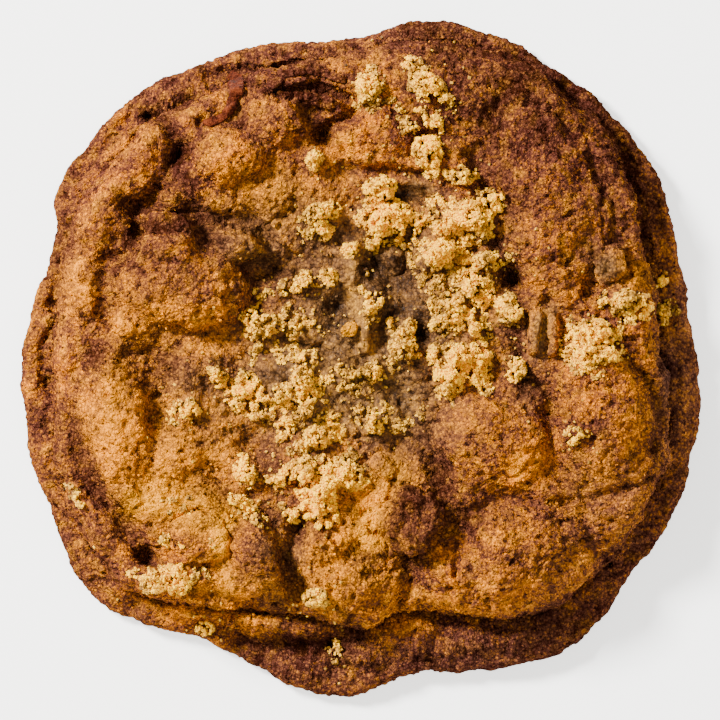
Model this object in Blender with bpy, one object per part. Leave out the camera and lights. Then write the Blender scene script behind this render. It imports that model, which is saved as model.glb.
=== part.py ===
"""Apple cookie: a soft drop cookie with diced apple, lying on its flat baked underside.

The dough has three tiers: a thin rim that spread on the tray, a crown that stands over the
rim on a rounded lip, and a sunken middle where the apple kept the dough wet. Round the
middle the crown is a ring of lumps, each one a piece of apple pushed up under the dough.
Apple that breaks through the crust is a solid of its own, and clumps of brown sugar are
one with the dough. Sizes are in millimetres until the last step, which makes them metres.
+X is to the right and +Y to the top of the cookie as it is seen from above.
"""

import math
import random
from collections import namedtuple

import bmesh
import bpy
import numpy as np
from mathutils import Matrix, Vector, noise

MM = 0.001

# Outline radius every ten degrees, anticlockwise from +X: the rim, and the crown's lip over it.
RIM_RADII = [
    45.1, 44.2, 45.1, 46.2, 46.6, 46.7, 46.5, 46.6, 45.7, 42.8, 42.9, 44.1,
    44.6, 46.3, 46.1, 46.2, 43.5, 44.1, 45.1, 45.9, 46.2, 46.8, 47.9, 46.2,
    43.4, 43.4, 45.2, 45.1, 42.9, 44.8, 46.9, 47.8, 46.5, 46.7, 46.6, 46.1,
]  # fmt: skip
CROWN_RADII = [
    40.5, 40.0, 40.8, 42.8, 44.2, 44.6, 44.8, 44.2, 43.0, 40.9, 40.2, 40.6,
    40.4, 42.0, 42.0, 42.8, 41.8, 41.0, 41.2, 41.0, 42.8, 44.0, 44.3, 42.4,
    38.6, 36.0, 34.9, 36.4, 34.4, 36.8, 40.4, 42.2, 42.8, 43.3, 43.3, 42.0,
]  # fmt: skip

# Heights above the tray.
BASIN_HEIGHT = 9.8
SHOULDER_HEIGHT = 12.4
LIP_HEIGHT = 6.6
GROOVE_HEIGHT = 3.9
RIM_CREST_HEIGHT = 4.9
RIM_EDGE_HEIGHT = 3.5
TRIM_DEPTH = 0.5
EDGE_FALL = 2.4  # How far the crown slopes down to its lip, over its outer quarter.

# The sunken middle, and the roundings of the crown's lip and of the rim's edge.
BASIN_CENTRE = (1.5, 1.0)
BASIN_RADIUS = 13.0
SHOULDER_RADIUS = 23.0
LIP_RADIUS = 2.7
LIP_TURN = math.radians(150)
EDGE_RADIUS = 1.5
EDGE_TURN = math.radians(165)

# Towards the upper right the crown runs out over the rim, with hardly a groove under its lip.
MERGED_ANGLE = math.radians(50)
MERGED_SPREAD = math.radians(36)
MERGED_LIP_TURN = math.radians(100)
MERGED_GROOVE_HEIGHT = 5.6

# The unevenness of the dough: how far it wanders sideways, and how rough it is in height.
WARP_REACH, WARP_SCALE = 0.9, 7.0
SWELL_HEIGHT, SWELL_SCALE = 0.7, 9.0
CRAG_HEIGHT, CRAG_SCALE = 0.45, 2.6
FRAY_REACH, FRAY_SCALE = 0.45, 3.2
MEAN_RADIUS = 45

# A lump: its place, its half length and half width, the turn of its length in degrees, its top.
Lump = namedtuple("Lump", "name x y long wide turn top")
LUMPS = [
    Lump("north-west shoulder", -30.6, 26.8, 8.6, 6.4, 52, 14.8),
    Lump("west shoulder", -35.0, 19.6, 6.4, 5.2, 70, 14.2),
    Lump("shelf in the gorge", -23.4, 21.4, 4.4, 3.0, 10, 14.0),
    Lump("slope over the gorge", -29.4, 22.6, 5.4, 3.6, 20, 13.9),
    Lump("north-west knob", -17.4, 26.2, 5.8, 4.6, 20, 15.8),
    Lump("knob by the peel", -11.4, 31.2, 4.8, 4.4, -20, 15.4),
    Lump("bud by the peel", -21.2, 33.6, 4.2, 3.4, 30, 13.6),
    Lump("sunny slope", -13.0, 21.0, 6.4, 3.6, -10, 13.2),
    Lump("great west lump", -23.6, 9.8, 10.0, 6.8, -10, 17.0),
    Lump("peak of the west lump", -25.8, 14.0, 5.4, 4.2, 10, 17.6),
    Lump("pale shelf", -16.0, 14.6, 5.5, 3.0, -12, 14.4),
    Lump("west edge lump", -36.6, 9.4, 7.0, 4.2, 84, 14.0),
    Lump("west bud", -30.0, 3.6, 4.8, 4.2, 30, 14.4),
    Lump("low west lump", -37.6, 0.6, 5.0, 4.6, 20, 12.8),
    Lump("west ridge", -32.6, -8.6, 12.6, 5.6, 98, 15.6),
    Lump("west hollow floor", -22.4, -2.2, 6.8, 5.2, 80, 13.6),
    Lump("south-west dome", -24.0, -11.8, 6.8, 6.0, 60, 13.8),
    Lump("south-west bow", -14.2, -25.8, 7.4, 4.0, 102, 15.2),
    Lump("bow's foot", -16.4, -30.2, 6.6, 2.8, -8, 13.0),
    Lump("low south-west lump", -31.6, -25.6, 5.6, 4.0, -46, 9.8),
    Lump("wet south-west lump", -27.4, -20.4, 4.6, 3.6, 0, 12.2),
    Lump("south lump", -1.6, -30.4, 6.0, 5.0, 20, 14.0),
    Lump("bud over the south lump", -4.4, -24.2, 4.8, 3.8, -10, 14.2),
    Lump("small south lump", 11.4, -29.6, 4.8, 4.4, -20, 13.4),
    Lump("great south-east lump", 20.8, -26.4, 8.6, 7.6, 10, 15.4),
    Lump("great east lump", 17.8, -11.8, 8.8, 7.6, -30, 15.0),
    Lump("outer east lump", 32.0, -7.4, 10.0, 7.2, 86, 15.6),
    Lump("south-east corner", 34.4, -19.4, 6.4, 5.0, 40, 13.2),
    Lump("south-east edge", 29.4, -29.0, 5.0, 3.8, 42, 12.4),
    Lump("east ridge", 37.6, 4.4, 7.4, 2.8, 100, 12.0),
    Lump("north-east plateau", 24.4, 18.4, 14.0, 8.4, 108, 14.0),
    Lump("north-east brow", 24.0, 33.0, 9.6, 6.0, -34, 12.6),
    Lump("outer brow", 34.6, 22.0, 9.0, 3.8, 112, 12.2),
    Lump("top plateau", 9.6, 35.2, 9.6, 6.2, -8, 13.2),
    Lump("top knob", 1.8, 29.2, 7.0, 4.8, -8, 14.6),
    Lump("north shelf", -5.4, 21.0, 6.4, 4.2, 8, 12.6),
    Lump("east bud", 36.4, 15.8, 4.6, 2.8, 100, 12.6),
    Lump("middle bridge", 9.6, 15.0, 8.8, 5.0, 40, 12.0),
    Lump("middle hump", 13.4, 3.6, 6.4, 4.8, 100, 12.2),
    Lump("sugared hump", -9.8, -3.8, 7.8, 5.8, -40, 12.0),
    Lump("sugared slope", -5.4, -16.4, 7.2, 4.4, 6, 12.6),
]
LUMP_SINK = 7.4  # Below its top, where a lump's sides go under the dough between them.
LUMP_FULLNESS = 1.25  # Over 1 flattens a lump's top and steepens its sides.
BLEND_SHARPNESS = 1.7  # Per millimetre; a larger value gives a tighter crease between lumps.

# A fold or crack follows a few points, with its half width and its depth.
Fold = namedtuple("Fold", "name path width depth")
FOLDS = [
    Fold("north-west gorge", [(-31, 20.4), (-28, 20.4), (-25.4, 23.6), (-23.4, 27.6)], 0.9, 1.5),
    Fold("west gorge", [(-34, 13.4), (-31, 13.6), (-29.4, 15.4), (-29.8, 19.2)], 0.8, 1.4),
    Fold("crease under the knob", [(-22, 20), (-18, 18.4), (-14, 17.4), (-11.6, 15)], 0.9, 1.2),
    Fold("west cheek", [(-33.6, 12.6), (-34, 8.6), (-33.6, 3.6), (-28, 0.4)], 0.9, 0.9),
    Fold("basin's north-west wall", [(-14.2, 12.4), (-11.4, 11.8), (-8.6, 13)], 1.3, 1.3),
    Fold("ridge's inner side", [(-27.6, 0), (-27, -4), (-27.2, -9)], 1.3, 0.9),
    Fold("burnt furrow", [(-38, -9), (-36.8, -16), (-33, -21), (-28.4, -26.4)], 1.3, 2.2),
    Fold("furrow's end", [(-28.4, -26.4), (-22, -31.6), (-14, -33)], 0.9, 1.8),
    Fold("north-east wall", [(15.2, 27), (16, 23.4), (18.4, 20)], 1.1, 1.6),
    Fold("east wall", [(17.4, 15.6), (19.6, 12), (21.6, 9.4)], 1.2, 2.2),
    Fold("outer east crack", [(30, 16.4), (31, 12.6), (30.6, 9)], 0.9, 1.2),
    Fold("east valley", [(21, 1), (22.2, -3), (25, -6), (25.6, -13), (27, -16.4)], 1.1, 1.2),
    Fold("south-east crease", [(12, -20.8), (15.4, -20.4), (20.4, -18.6), (26.4, -19.2)], 0.6, 0.9),
    Fold("south-east seam", [(26.4, -19.2), (29.4, -21.4), (30.4, -25), (33, -27.4)], 0.7, 1.0),
    Fold("crack in the dome", [(12.4, -24.4), (12.6, -26.2), (12.2, -28.4)], 0.4, 1.0),
    Fold("south crease", [(9.4, -14), (11.2, -18), (12, -22)], 1.4, 1.1),
    Fold("south crack", [(6.4, -26.4), (6.8, -29.4), (5.6, -33)], 1.0, 1.5),
    Fold("valley by the bow", [(-8.4, -22), (-9.8, -26.6), (-8, -31)], 1.3, 2.2),
    Fold("outer lump's edge", [(35, -0.4), (38.2, -3), (39.8, -8), (39, -13)], 0.7, 1.5),
    Fold("crease under the top knob", [(-2, 24.8), (3, 25), (8, 24.2)], 0.6, 0.9),
    Fold("hollow in the curl", [(-9.8, 35.7), (-6.6, 36.0), (-3.4, 35.4), (-1.8, 34.4)], 0.6, 2.0),
    Fold("hollow under the curl", [(-6.9, 32.6), (-5.7, 31.2), (-5.2, 29.6)], 1.7, 1.8),
    Fold("corner crack", [(31.6, -18.6), (35, -18), (38, -16.4)], 0.6, 1.2),
    Fold("gap under the ledge", [(-16, -38), (-11, -38.5), (-5, -38.4), (0, -37.2)], 1.2, 2.4),
    Fold("top band crease", [(-20, 37.6), (-15, 38.6), (-12, 37.9), (-9.2, 39), (-6, 38.9), (-4.2, 38)],
         0.6, 1.5),
    Fold("top brow crease", [(3, 41.3), (8, 41), (14, 41.6)], 0.7, 1.3),
    Fold("first outer wrinkle", [(27, 36), (33, 29), (37, 20), (38, 14)], 0.6, 0.9),
    Fold("second outer wrinkle", [(31, 28), (34.6, 20), (35.6, 13)], 0.5, 0.7),
    Fold("shoulder's outer crease", [(-38.6, 23.4), (-35.4, 26.6), (-31.4, 31), (-28.4, 32.2)],
         0.7, 1.6),
    Fold("shoulder's top crease", [(-28.4, 32.2), (-26, 31.4), (-24.4, 29.2), (-23, 26.6)], 0.7, 1.4),
    Fold("west lip crease", [(-41, 7), (-40.2, 12.4), (-38.8, 17.6)], 0.7, 1.5),
    Fold("hollow by the peel", [(-15, 36.5), (-13, 35.7), (-11.6, 35.4)], 0.8, 1.8),
    Fold("crack beside the slice", [(-1, 33), (-2.6, 31.9), (-4.6, 30.2)], 0.6, 1.8),
    Fold("third outer wrinkle", [(31, 26), (33, 20.6), (33.4, 15.4), (35, 11)], 0.7, 1.0),
    Fold("brow wrinkle", [(16, 38), (21, 35.6), (26.6, 32), (29.6, 28)], 0.7, 0.8),
    Fold("crack in the middle", [(-9, 1.9), (-6.4, 1.4), (-4.4, 0.6)], 0.6, 1.0),
    Fold("north hollow", [(4.4, 21.8), (6.6, 21.6), (9, 20.8)], 0.8, 1.4),
    Fold("left band crease", [(-41, 4), (-42.6, 1), (-41.2, -5)], 0.7, 1.2),
]
RIDGES = [
    Fold("south ledge", [(-24, -33.4), (-18, -34.8), (-10, -36), (-3, -35.8)], 1.6, 2.2),
    Fold("south apron", [(2, -39), (10, -38.4), (20, -37.8), (28, -35)], 2.4, 0.9),
    Fold("bright rim of the bow", [(-22, -19.6), (-17.6, -21.4), (-17, -28)], 0.9, 0.7),
    Fold("south bump", [(3.6, -36.4), (6.2, -35.2), (9.2, -35.8)], 1.5, 1.7),
    Fold("golden ridge", [(-0.8, 14), (-1, 9), (0, 4.6), (0.6, 1.2)], 0.9, 1.0),
    Fold("north lip", [(-4, 25.4), (2, 26), (7, 25.8), (11, 24.4)], 0.8, 0.7),
    Fold("right band", [(37.6, 26), (41, 15), (43, 4), (43.4, -8)], 1.1, 0.8),
    Fold("left band", [(-41, 12), (-43.2, 4), (-43, -8), (-41.8, -15)], 1.0, 0.8),
]

# A pit: its place, its radius and its depth.
Pit = namedtuple("Pit", "x y radius depth")
PITS = [
    Pit(-28.6, 20.0, 1.6, 1.0), Pit(-24.0, 26.6, 1.4, 1.8), Pit(-5.0, 29.2, 1.0, 3.0),
    Pit(4.4, 12.4, 3.2, 2.6), Pit(-3.4, 6.2, 2.2, 1.6), Pit(-11.6, 12.0, 1.5, 1.2),
    Pit(20.2, 11.0, 1.7, 2.2), Pit(22.4, -3.2, 1.6, 1.2), Pit(6.8, 16.8, 1.2, 1.2),
    Pit(8.4, 3.2, 1.5, 2.0), Pit(5.6, -5.0, 2.0, 1.4), Pit(-14.0, -11.6, 2.6, 1.6),
    Pit(2.6, 2.6, 1.5, 1.0), Pit(6.2, 6.8, 1.8, 1.0), Pit(25.0, 7.5, 0.7, 1.6),
    Pit(-27.2, -27.2, 1.1, 1.6), Pit(17.2, -32.6, 0.8, 1.2), Pit(23.6, -26.8, 0.9, 1.0),
]  # fmt: skip

# Patches of brown sugar: place, half length and half width, turn, and the largest clump's radius.
Patch = namedtuple("Patch", "x y long wide turn clump")
SUGAR_PATCHES = [
    Patch(1.2, 36.0, 2.6, 2.2, 80, 1.3), Patch(8.6, 36.2, 4.2, 2.2, -45, 1.5),
    Patch(9.4, 31.2, 2.6, 1.2, 0, 1.0), Patch(9.0, 27.2, 3.0, 1.8, -50, 1.8),
    Patch(13.2, 24.2, 2.8, 1.6, -10, 1.4), Patch(-6.0, 26.2, 1.2, 1.6, 0, 1.2),
    Patch(3.0, 22.2, 2.4, 1.8, 0, 1.4), Patch(3.0, 17.8, 4.0, 2.8, 10, 1.9),
    Patch(14.8, 18.8, 5.0, 3.2, 10, 2.0), Patch(-5.4, 18.2, 2.6, 2.0, 60, 1.2),
    Patch(10.4, 13.6, 5.2, 3.2, 70, 1.8), Patch(17.4, 12.8, 3.4, 1.4, 10, 1.3),
    Patch(12.0, 6.6, 4.8, 3.8, 20, 1.7), Patch(19.8, 6.2, 3.4, 1.9, -70, 1.5),
    Patch(1.8, 7.4, 1.8, 2.6, 0, 1.3), Patch(-7.6, 10.2, 2.8, 1.8, 0, 1.3),
    Patch(-12.6, 4.6, 5.4, 2.4, 12, 1.4), Patch(-2.2, 4.2, 1.6, 1.3, 0, 1.5),
    Patch(5.8, 1.6, 1.7, 3.0, 0, 1.6), Patch(13.2, -0.2, 3.4, 4.0, 0, 1.5),
    Patch(20.4, -1.6, 1.8, 1.8, 0, 1.2), Patch(-15.4, -3.6, 5.6, 2.2, -28, 1.6),
    Patch(-7.6, -2.8, 4.4, 3.6, -40, 1.5), Patch(1.2, -2.2, 1.8, 1.8, 0, 1.4),
    Patch(-10.0, -9.4, 5.0, 2.4, -30, 1.5), Patch(2.0, -8.6, 2.0, 2.0, 0, 1.5),
    Patch(-22.6, -7.0, 2.6, 1.5, 15, 1.2), Patch(-15.4, -14.8, 2.8, 1.9, -70, 1.4),
    Patch(-7.4, -15.0, 5.6, 3.2, 0, 1.7), Patch(-1.2, -15.8, 2.6, 2.2, 0, 1.5),
    Patch(-14.8, -20.2, 3.2, 1.3, -40, 1.2), Patch(-6.4, -20.2, 3.8, 2.6, 0, 1.4),
    Patch(-25.2, -29.2, 5.2, 2.0, 0, 1.7), Patch(-20.8, -36.2, 1.4, 0.9, 0, 1.0),
    Patch(-6.0, -31.8, 1.6, 1.5, 0, 1.2), Patch(-3.2, -39.2, 0.9, 1.7, 0, 0.9),
    Patch(31.0, 2.2, 3.8, 3.8, 0, 2.4), Patch(35.6, 7.2, 2.8, 1.9, 10, 1.5),
    Patch(40.6, 6.2, 1.1, 2.0, 0, 0.9), Patch(28.2, -10.4, 1.6, 1.6, 0, 1.2),
]  # fmt: skip
CLUMP_SPACING = 1.6  # Between neighbouring clumps, as a share of their mean radius.
CLUMP_SHRINK = 0.86  # Each clump of a patch is at most this share of the one before it.
SMALLEST_CLUMP = 0.9
CLUMP_PROUD = 0.1  # How far a clump's middle is above the dough, as a share of its radius.
CLUMP_SIZE = 1.15
CLUMP_TALL = 0.85
CLUMP_TRIES = 22
MOST_CLUMPS = 66
DRIFT_HEIGHT, DRIFT_SCALE = 1.0, 2.1  # Loose sugar that lies between the clumps.
SUGAR_SEED = 11

# A cube of baked apple: its place, size, yaw and tilt in degrees, and how far it stands proud.
Dice = namedtuple("Dice", "node x y long wide tall yaw tilt proud")
APPLE_DICE = [
    Dice("apple_chunk_south", 6.6, -21.6, 8.0, 7.6, 8.0, 50, 8, 3.4),
    Dice("apple_chunk_southwest", -21.2, -24.0, 8.2, 6.8, 5.6, 15, -6, 1.5),
    Dice("apple_chunk_centre", 3.2, -14.6, 4.2, 2.6, 4.6, -45, 8, 1.2),
    Dice("apple_chunk_hollow", 4.4, 12.4, 5.2, 4.4, 4.6, 20, -6, 1.6),
    Dice("apple_chunk_west", -25.0, 17.2, 6.0, 3.6, 5.2, -15, 6, 1.4),
    Dice("apple_chunk_east", 33.0, 12.4, 4.8, 4.0, 4.6, 112, -8, 1.2),
    Dice("apple_slab_east", 23.1, 3.1, 6.2, 1.8, 6.0, 84, 3, 1.4),
    Dice("apple_slab_outer", 25.6, 3.0, 6.2, 1.5, 6.0, 88, -3, 1.3),
]
DICE_CUTS = 2
DICE_SQUARENESS = 4.5  # 2 would make an ellipsoid; larger values come nearer to a cube.
DICE_JITTER = 0.07
POCKET_GAP = 0.35

# A strip of peel or dried apple: its path, the width and thickness of its section, its rise.
Strip = namedtuple("Strip", "node path width thick proud arch")
APPLE_STRIPS = [
    Strip("apple_peel_northwest", [(-16.7, 37.2), (-16.9, 35.0), (-17.6, 33.2), (-20.4, 31.2)],
          2.0, 1.5, 1.3, 0.3),
    Strip("apple_curl_north", [(-12.2, 35.4), (-9.6, 37.5), (-6.4, 38.1), (-2.4, 36.8)],
          1.8, 1.4, 1.4, 0.6),
    Strip("apple_slice_north", [(-10.6, 34.7), (-7.0, 34.5), (-4.2, 33.8), (-2.9, 31.8)],
          1.8, 1.4, 1.4, 0.6),
]  # fmt: skip
STRIP_STEPS = 9

# Mesh resolution: the grid that is shaped, and the share of its triangles that is kept.
GRID_CELLS = 170
KEPT_TRIANGLES = 6000
TOP_SHARE, LIP_SHARE, SKIRT_SHARE = 0.68, 0.78, 0.91

CRUST_COLOUR = (0.36, 0.16, 0.05, 1.0)
APPLE_COLOUR = (0.62, 0.36, 0.08, 1.0)
PEEL_COLOUR = (0.30, 0.08, 0.03, 1.0)


def clear_scene():
    for obj in list(bpy.data.objects):
        bpy.data.objects.remove(obj, do_unlink=True)


def make_material(name, colour, roughness):
    material = bpy.data.materials.new(name)
    material.use_nodes = True
    shader = material.node_tree.nodes["Principled BSDF"]
    shader.inputs["Base Color"].default_value = colour
    shader.inputs["Roughness"].default_value = roughness
    shader.inputs["Metallic"].default_value = 0.0
    return material


def around(radii, angle):
    """The outline's radius at each angle, on a smooth closed curve through the given radii."""
    radii = np.asarray(radii)
    place = (np.asarray(angle) % math.tau) / math.tau * len(radii)
    step = np.floor(place).astype(int)
    t = place - step
    before, start, end, after = (radii[(step + k) % len(radii)] for k in (-1, 0, 1, 2))
    bend = 2 * before - 5 * start + 4 * end - after
    return 0.5 * (
        2 * start + (end - before) * t + bend * t**2 + (3 * (start - end) + after - before) * t**3
    )


def roughness(x, y, scale, layer):
    """Smooth noise between about -1 and 1; each layer is a different pattern."""
    return np.array([noise.noise(Vector((a / scale, b / scale, layer))) for a, b in zip(x, y)])


def smooth_step(low, high, value):
    t = np.clip((value - low) / (high - low), 0, 1)
    return t * t * (3 - 2 * t)


def distance_to_path(x, y, path):
    nearest = np.full(len(x), 1e9)
    for (ax, ay), (bx, by) in zip(path, path[1:]):
        dx, dy = bx - ax, by - ay
        t = np.clip(((x - ax) * dx + (y - ay) * dy) / (dx * dx + dy * dy), 0, 1)
        nearest = np.minimum(nearest, np.hypot(x - ax - t * dx, y - ay - t * dy))
    return nearest


def relief_of_folds(x, y):
    """The height that the ridges add and that the folds and pits take away."""
    change = np.zeros(len(x))
    for ridge in RIDGES:
        change += ridge.depth * np.exp(-((distance_to_path(x, y, ridge.path) / ridge.width) ** 2))
    for fold in FOLDS:
        change -= fold.depth * np.exp(-((distance_to_path(x, y, fold.path) / fold.width) ** 2))
    for pit in PITS:
        reach = np.hypot(x - pit.x, y - pit.y) / pit.radius
        change -= pit.depth * np.exp(-(reach**2))
    return change


def sugar_drift(x, y):
    """Height of the loose sugar that lies in the patches, in soft heaps."""
    cover = np.zeros(len(x))
    for patch in SUGAR_PATCHES:
        turn = math.radians(patch.turn)
        dx, dy = x - patch.x, y - patch.y
        along = (dx * math.cos(turn) + dy * math.sin(turn)) / patch.long
        across = (dy * math.cos(turn) - dx * math.sin(turn)) / patch.wide
        cover = np.maximum(cover, np.exp(-((along**2 + across**2) ** 2)))
    heaps = 0.55 + 0.75 * roughness(x, y, DRIFT_SCALE, 11.5)
    return DRIFT_HEIGHT * cover * np.clip(heaps, 0, None)


def crown_top(x, y):
    """Height of the crown's upper surface: a ring of lumps round a sunken middle."""
    x, y = np.atleast_1d(x).astype(float), np.atleast_1d(y).astype(float)
    wx = x + WARP_REACH * roughness(x, y, WARP_SCALE, 1.5)
    wy = y + WARP_REACH * roughness(x, y, WARP_SCALE, 7.5)
    from_basin = np.hypot(wx - BASIN_CENTRE[0], wy - BASIN_CENTRE[1])
    rise = smooth_step(BASIN_RADIUS, SHOULDER_RADIUS, from_basin)
    floor = BASIN_HEIGHT + (SHOULDER_HEIGHT - BASIN_HEIGHT) * rise
    floor += SWELL_HEIGHT * roughness(x, y, SWELL_SCALE, 3.5)
    surfaces = [floor]
    for lump in LUMPS:
        turn = math.radians(lump.turn)
        dx, dy = wx - lump.x, wy - lump.y
        along = (dx * math.cos(turn) + dy * math.sin(turn)) / lump.long
        across = (dy * math.cos(turn) - dx * math.sin(turn)) / lump.wide
        spread = np.clip(1 - (along**2 + across**2) ** LUMP_FULLNESS, 0, None)
        surfaces.append(lump.top - LUMP_SINK * (1 - np.sqrt(spread)))
    surfaces = np.array(surfaces)
    highest = surfaces.max(axis=0)
    total = np.exp(BLEND_SHARPNESS * (surfaces - highest)).sum(axis=0)
    height = highest + np.log(total) / BLEND_SHARPNESS
    crags = CRAG_HEIGHT * roughness(x, y, CRAG_SCALE, 5.5)
    out = np.hypot(x, y) / around(CROWN_RADII, np.arctan2(y, x))
    fall = EDGE_FALL * np.clip((out - 0.75) / 0.25, 0, 1) ** 2
    return height - fall + relief_of_folds(wx, wy) + crags + sugar_drift(x, y)


def merged_share(angle):
    """1 where the crown runs out over the rim, 0 where its lip stands over a groove."""
    away = (angle - MERGED_ANGLE + math.pi) % math.tau - math.pi
    return np.exp(-((away / MERGED_SPREAD) ** 2))


def rim_top(x, y, share):
    """Height of the rim between the groove under the lip (share 0) and its edge (share 1)."""
    merged = merged_share(np.arctan2(y, x))
    groove = GROOVE_HEIGHT + (MERGED_GROOVE_HEIGHT - GROOVE_HEIGHT) * merged
    crest = groove + (RIM_CREST_HEIGHT - groove) * np.sin(math.pi * share)
    fall = (groove - RIM_EDGE_HEIGHT) * smooth_step(0.3, 1.0, share)
    wrinkles = 2.0 * CRAG_HEIGHT * roughness(x, y, CRAG_SCALE, 9.5)
    return crest - fall + np.clip(share * 3, 0, 1) * (wrinkles + relief_of_folds(x, y))


def tier_ends(angle):
    """Radii where the crown's surface ends, where the groove lies and where the rim turns down;
    and how far round the lip turns."""
    fray_x, fray_y = MEAN_RADIUS * np.cos(angle), MEAN_RADIUS * np.sin(angle)
    rim = around(RIM_RADII, angle) + FRAY_REACH * roughness(fray_x, fray_y, FRAY_SCALE, 2.5)
    crown = around(CROWN_RADII, angle) + FRAY_REACH * roughness(fray_x, fray_y, FRAY_SCALE, 4.5)
    flat_end = crown - LIP_RADIUS
    turn = LIP_TURN + (MERGED_LIP_TURN - LIP_TURN) * merged_share(angle)
    return flat_end, flat_end + LIP_RADIUS * np.sin(turn), rim - EDGE_RADIUS, turn


def shape_cookie(s, angle):
    """Place of each grid point: s runs from the top's middle (0) over lip and rim to the foot (1)."""
    flat_end, groove, rim_end, full_turn = tier_ends(angle)
    lip_turn = np.clip((s - TOP_SHARE) / (LIP_SHARE - TOP_SHARE), 0, 1) * full_turn
    rim_share = np.clip((s - LIP_SHARE) / (SKIRT_SHARE - LIP_SHARE), 0, 1)
    edge_turn = np.clip((s - SKIRT_SHARE) / (1 - SKIRT_SHARE), 0, 1) * EDGE_TURN

    radius = np.where(s < TOP_SHARE, flat_end * s / TOP_SHARE, flat_end + LIP_RADIUS * np.sin(lip_turn))
    radius = np.where(s > LIP_SHARE, groove + (rim_end - groove) * rim_share, radius)
    radius = np.where(s > SKIRT_SHARE, rim_end + EDGE_RADIUS * np.sin(edge_turn), radius)
    x, y = radius * np.cos(angle), radius * np.sin(angle)

    top = crown_top(x, y)
    over_lip = LIP_HEIGHT + (top - LIP_HEIGHT) * np.cos(lip_turn)
    groove_height = rim_top(x, y, np.zeros(len(s)))
    under_lip = LIP_HEIGHT + (LIP_HEIGHT - groove_height) * np.cos(lip_turn) / abs(np.cos(full_turn))
    z = np.where(s < TOP_SHARE, top, np.where(lip_turn < math.pi / 2, over_lip, under_lip))
    z = np.where(s > LIP_SHARE, rim_top(x, y, rim_share), z)
    edge_x, edge_y = rim_end * np.cos(angle), rim_end * np.sin(angle)
    edge_top = rim_top(edge_x, edge_y, np.ones(len(s)))
    middle, half = (edge_top - TRIM_DEPTH) / 2, (edge_top + TRIM_DEPTH) / 2
    z = np.where(s > SKIRT_SHARE, middle + half * np.cos(edge_turn), z)
    return x, y, z


def link(name, mesh_data, material):
    obj = bpy.data.objects.new(name, mesh_data)
    bpy.context.scene.collection.objects.link(obj)
    obj.data.materials.clear()
    obj.data.materials.append(material)
    return obj


def apply_modifiers(obj):
    """The mesh that the object's modifiers give becomes its own."""
    bpy.context.view_layer.update()
    graph = bpy.context.evaluated_depsgraph_get()
    mesh_data = bpy.data.meshes.new_from_object(obj.evaluated_get(graph))
    obj.modifiers.clear()
    obj.data = mesh_data


def make_dough(material):
    """A square grid is wrapped over the top, the lip and the rim, closed below and thinned out."""
    grid = bmesh.new()
    bmesh.ops.create_grid(grid, x_segments=GRID_CELLS, y_segments=GRID_CELLS, size=1.0)
    flat = np.array([vertex.co[:2] for vertex in grid.verts])
    a, b = flat[:, 0], flat[:, 1]
    s = np.maximum(abs(a), abs(b))
    safe_a, safe_b = np.where(a == 0, 1, a), np.where(b == 0, 1, b)
    side = math.pi / 4 * b / safe_a + np.where(a < 0, math.pi, 0)
    end = math.pi / 2 - math.pi / 4 * a / safe_b + np.where(b < 0, math.pi, 0)
    x, y, z = shape_cookie(s, np.where(abs(a) >= abs(b), side, end))
    for vertex, place in zip(grid.verts, zip(x, y, z)):
        vertex.co = Vector(place) * MM
    bmesh.ops.holes_fill(grid, edges=[edge for edge in grid.edges if edge.is_boundary])
    bmesh.ops.triangulate(grid, faces=grid.faces[:])
    bmesh.ops.recalc_face_normals(grid, faces=grid.faces[:])
    mesh_data = bpy.data.meshes.new("cookie")
    grid.to_mesh(mesh_data)
    triangles = len(grid.faces)
    grid.free()
    dough = link("cookie", mesh_data, material)
    thin = dough.modifiers.new("thin out", "DECIMATE")
    thin.ratio = KEPT_TRIANGLES / triangles
    apply_modifiers(dough)
    level_foot(dough)
    return dough


def level_foot(dough):
    """Cuts the underside flat where the cookie lay on the tray."""
    shape = bmesh.new()
    shape.from_mesh(dough.data)
    bmesh.ops.bisect_plane(
        shape,
        geom=shape.verts[:] + shape.edges[:] + shape.faces[:],
        plane_co=(0, 0, 0),
        plane_no=(0, 0, 1),
        clear_inner=True,
    )
    bmesh.ops.holes_fill(shape, edges=[edge for edge in shape.edges if edge.is_boundary])
    bmesh.ops.triangulate(shape, faces=[face for face in shape.faces if len(face.verts) > 3])
    bmesh.ops.recalc_face_normals(shape, faces=shape.faces[:])
    shape.to_mesh(dough.data)
    shape.free()


def surface_height(x, y):
    """Height of the dough's upper side at one place."""
    ends = tier_ends(np.array([math.atan2(y, x)]))
    flat_end, groove, rim_end = (float(radius[0]) for radius in ends[:3])
    past_top = math.hypot(x, y) - flat_end
    if past_top > LIP_RADIUS:
        share = np.array([(math.hypot(x, y) - groove) / (rim_end - groove)])
        return float(rim_top(np.array([x]), np.array([y]), share)[0])
    lip_fall = math.sqrt(1 - (max(past_top, 0) / LIP_RADIUS) ** 2)
    return LIP_HEIGHT + (float(crown_top(x, y)[0]) - LIP_HEIGHT) * lip_fall


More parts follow.
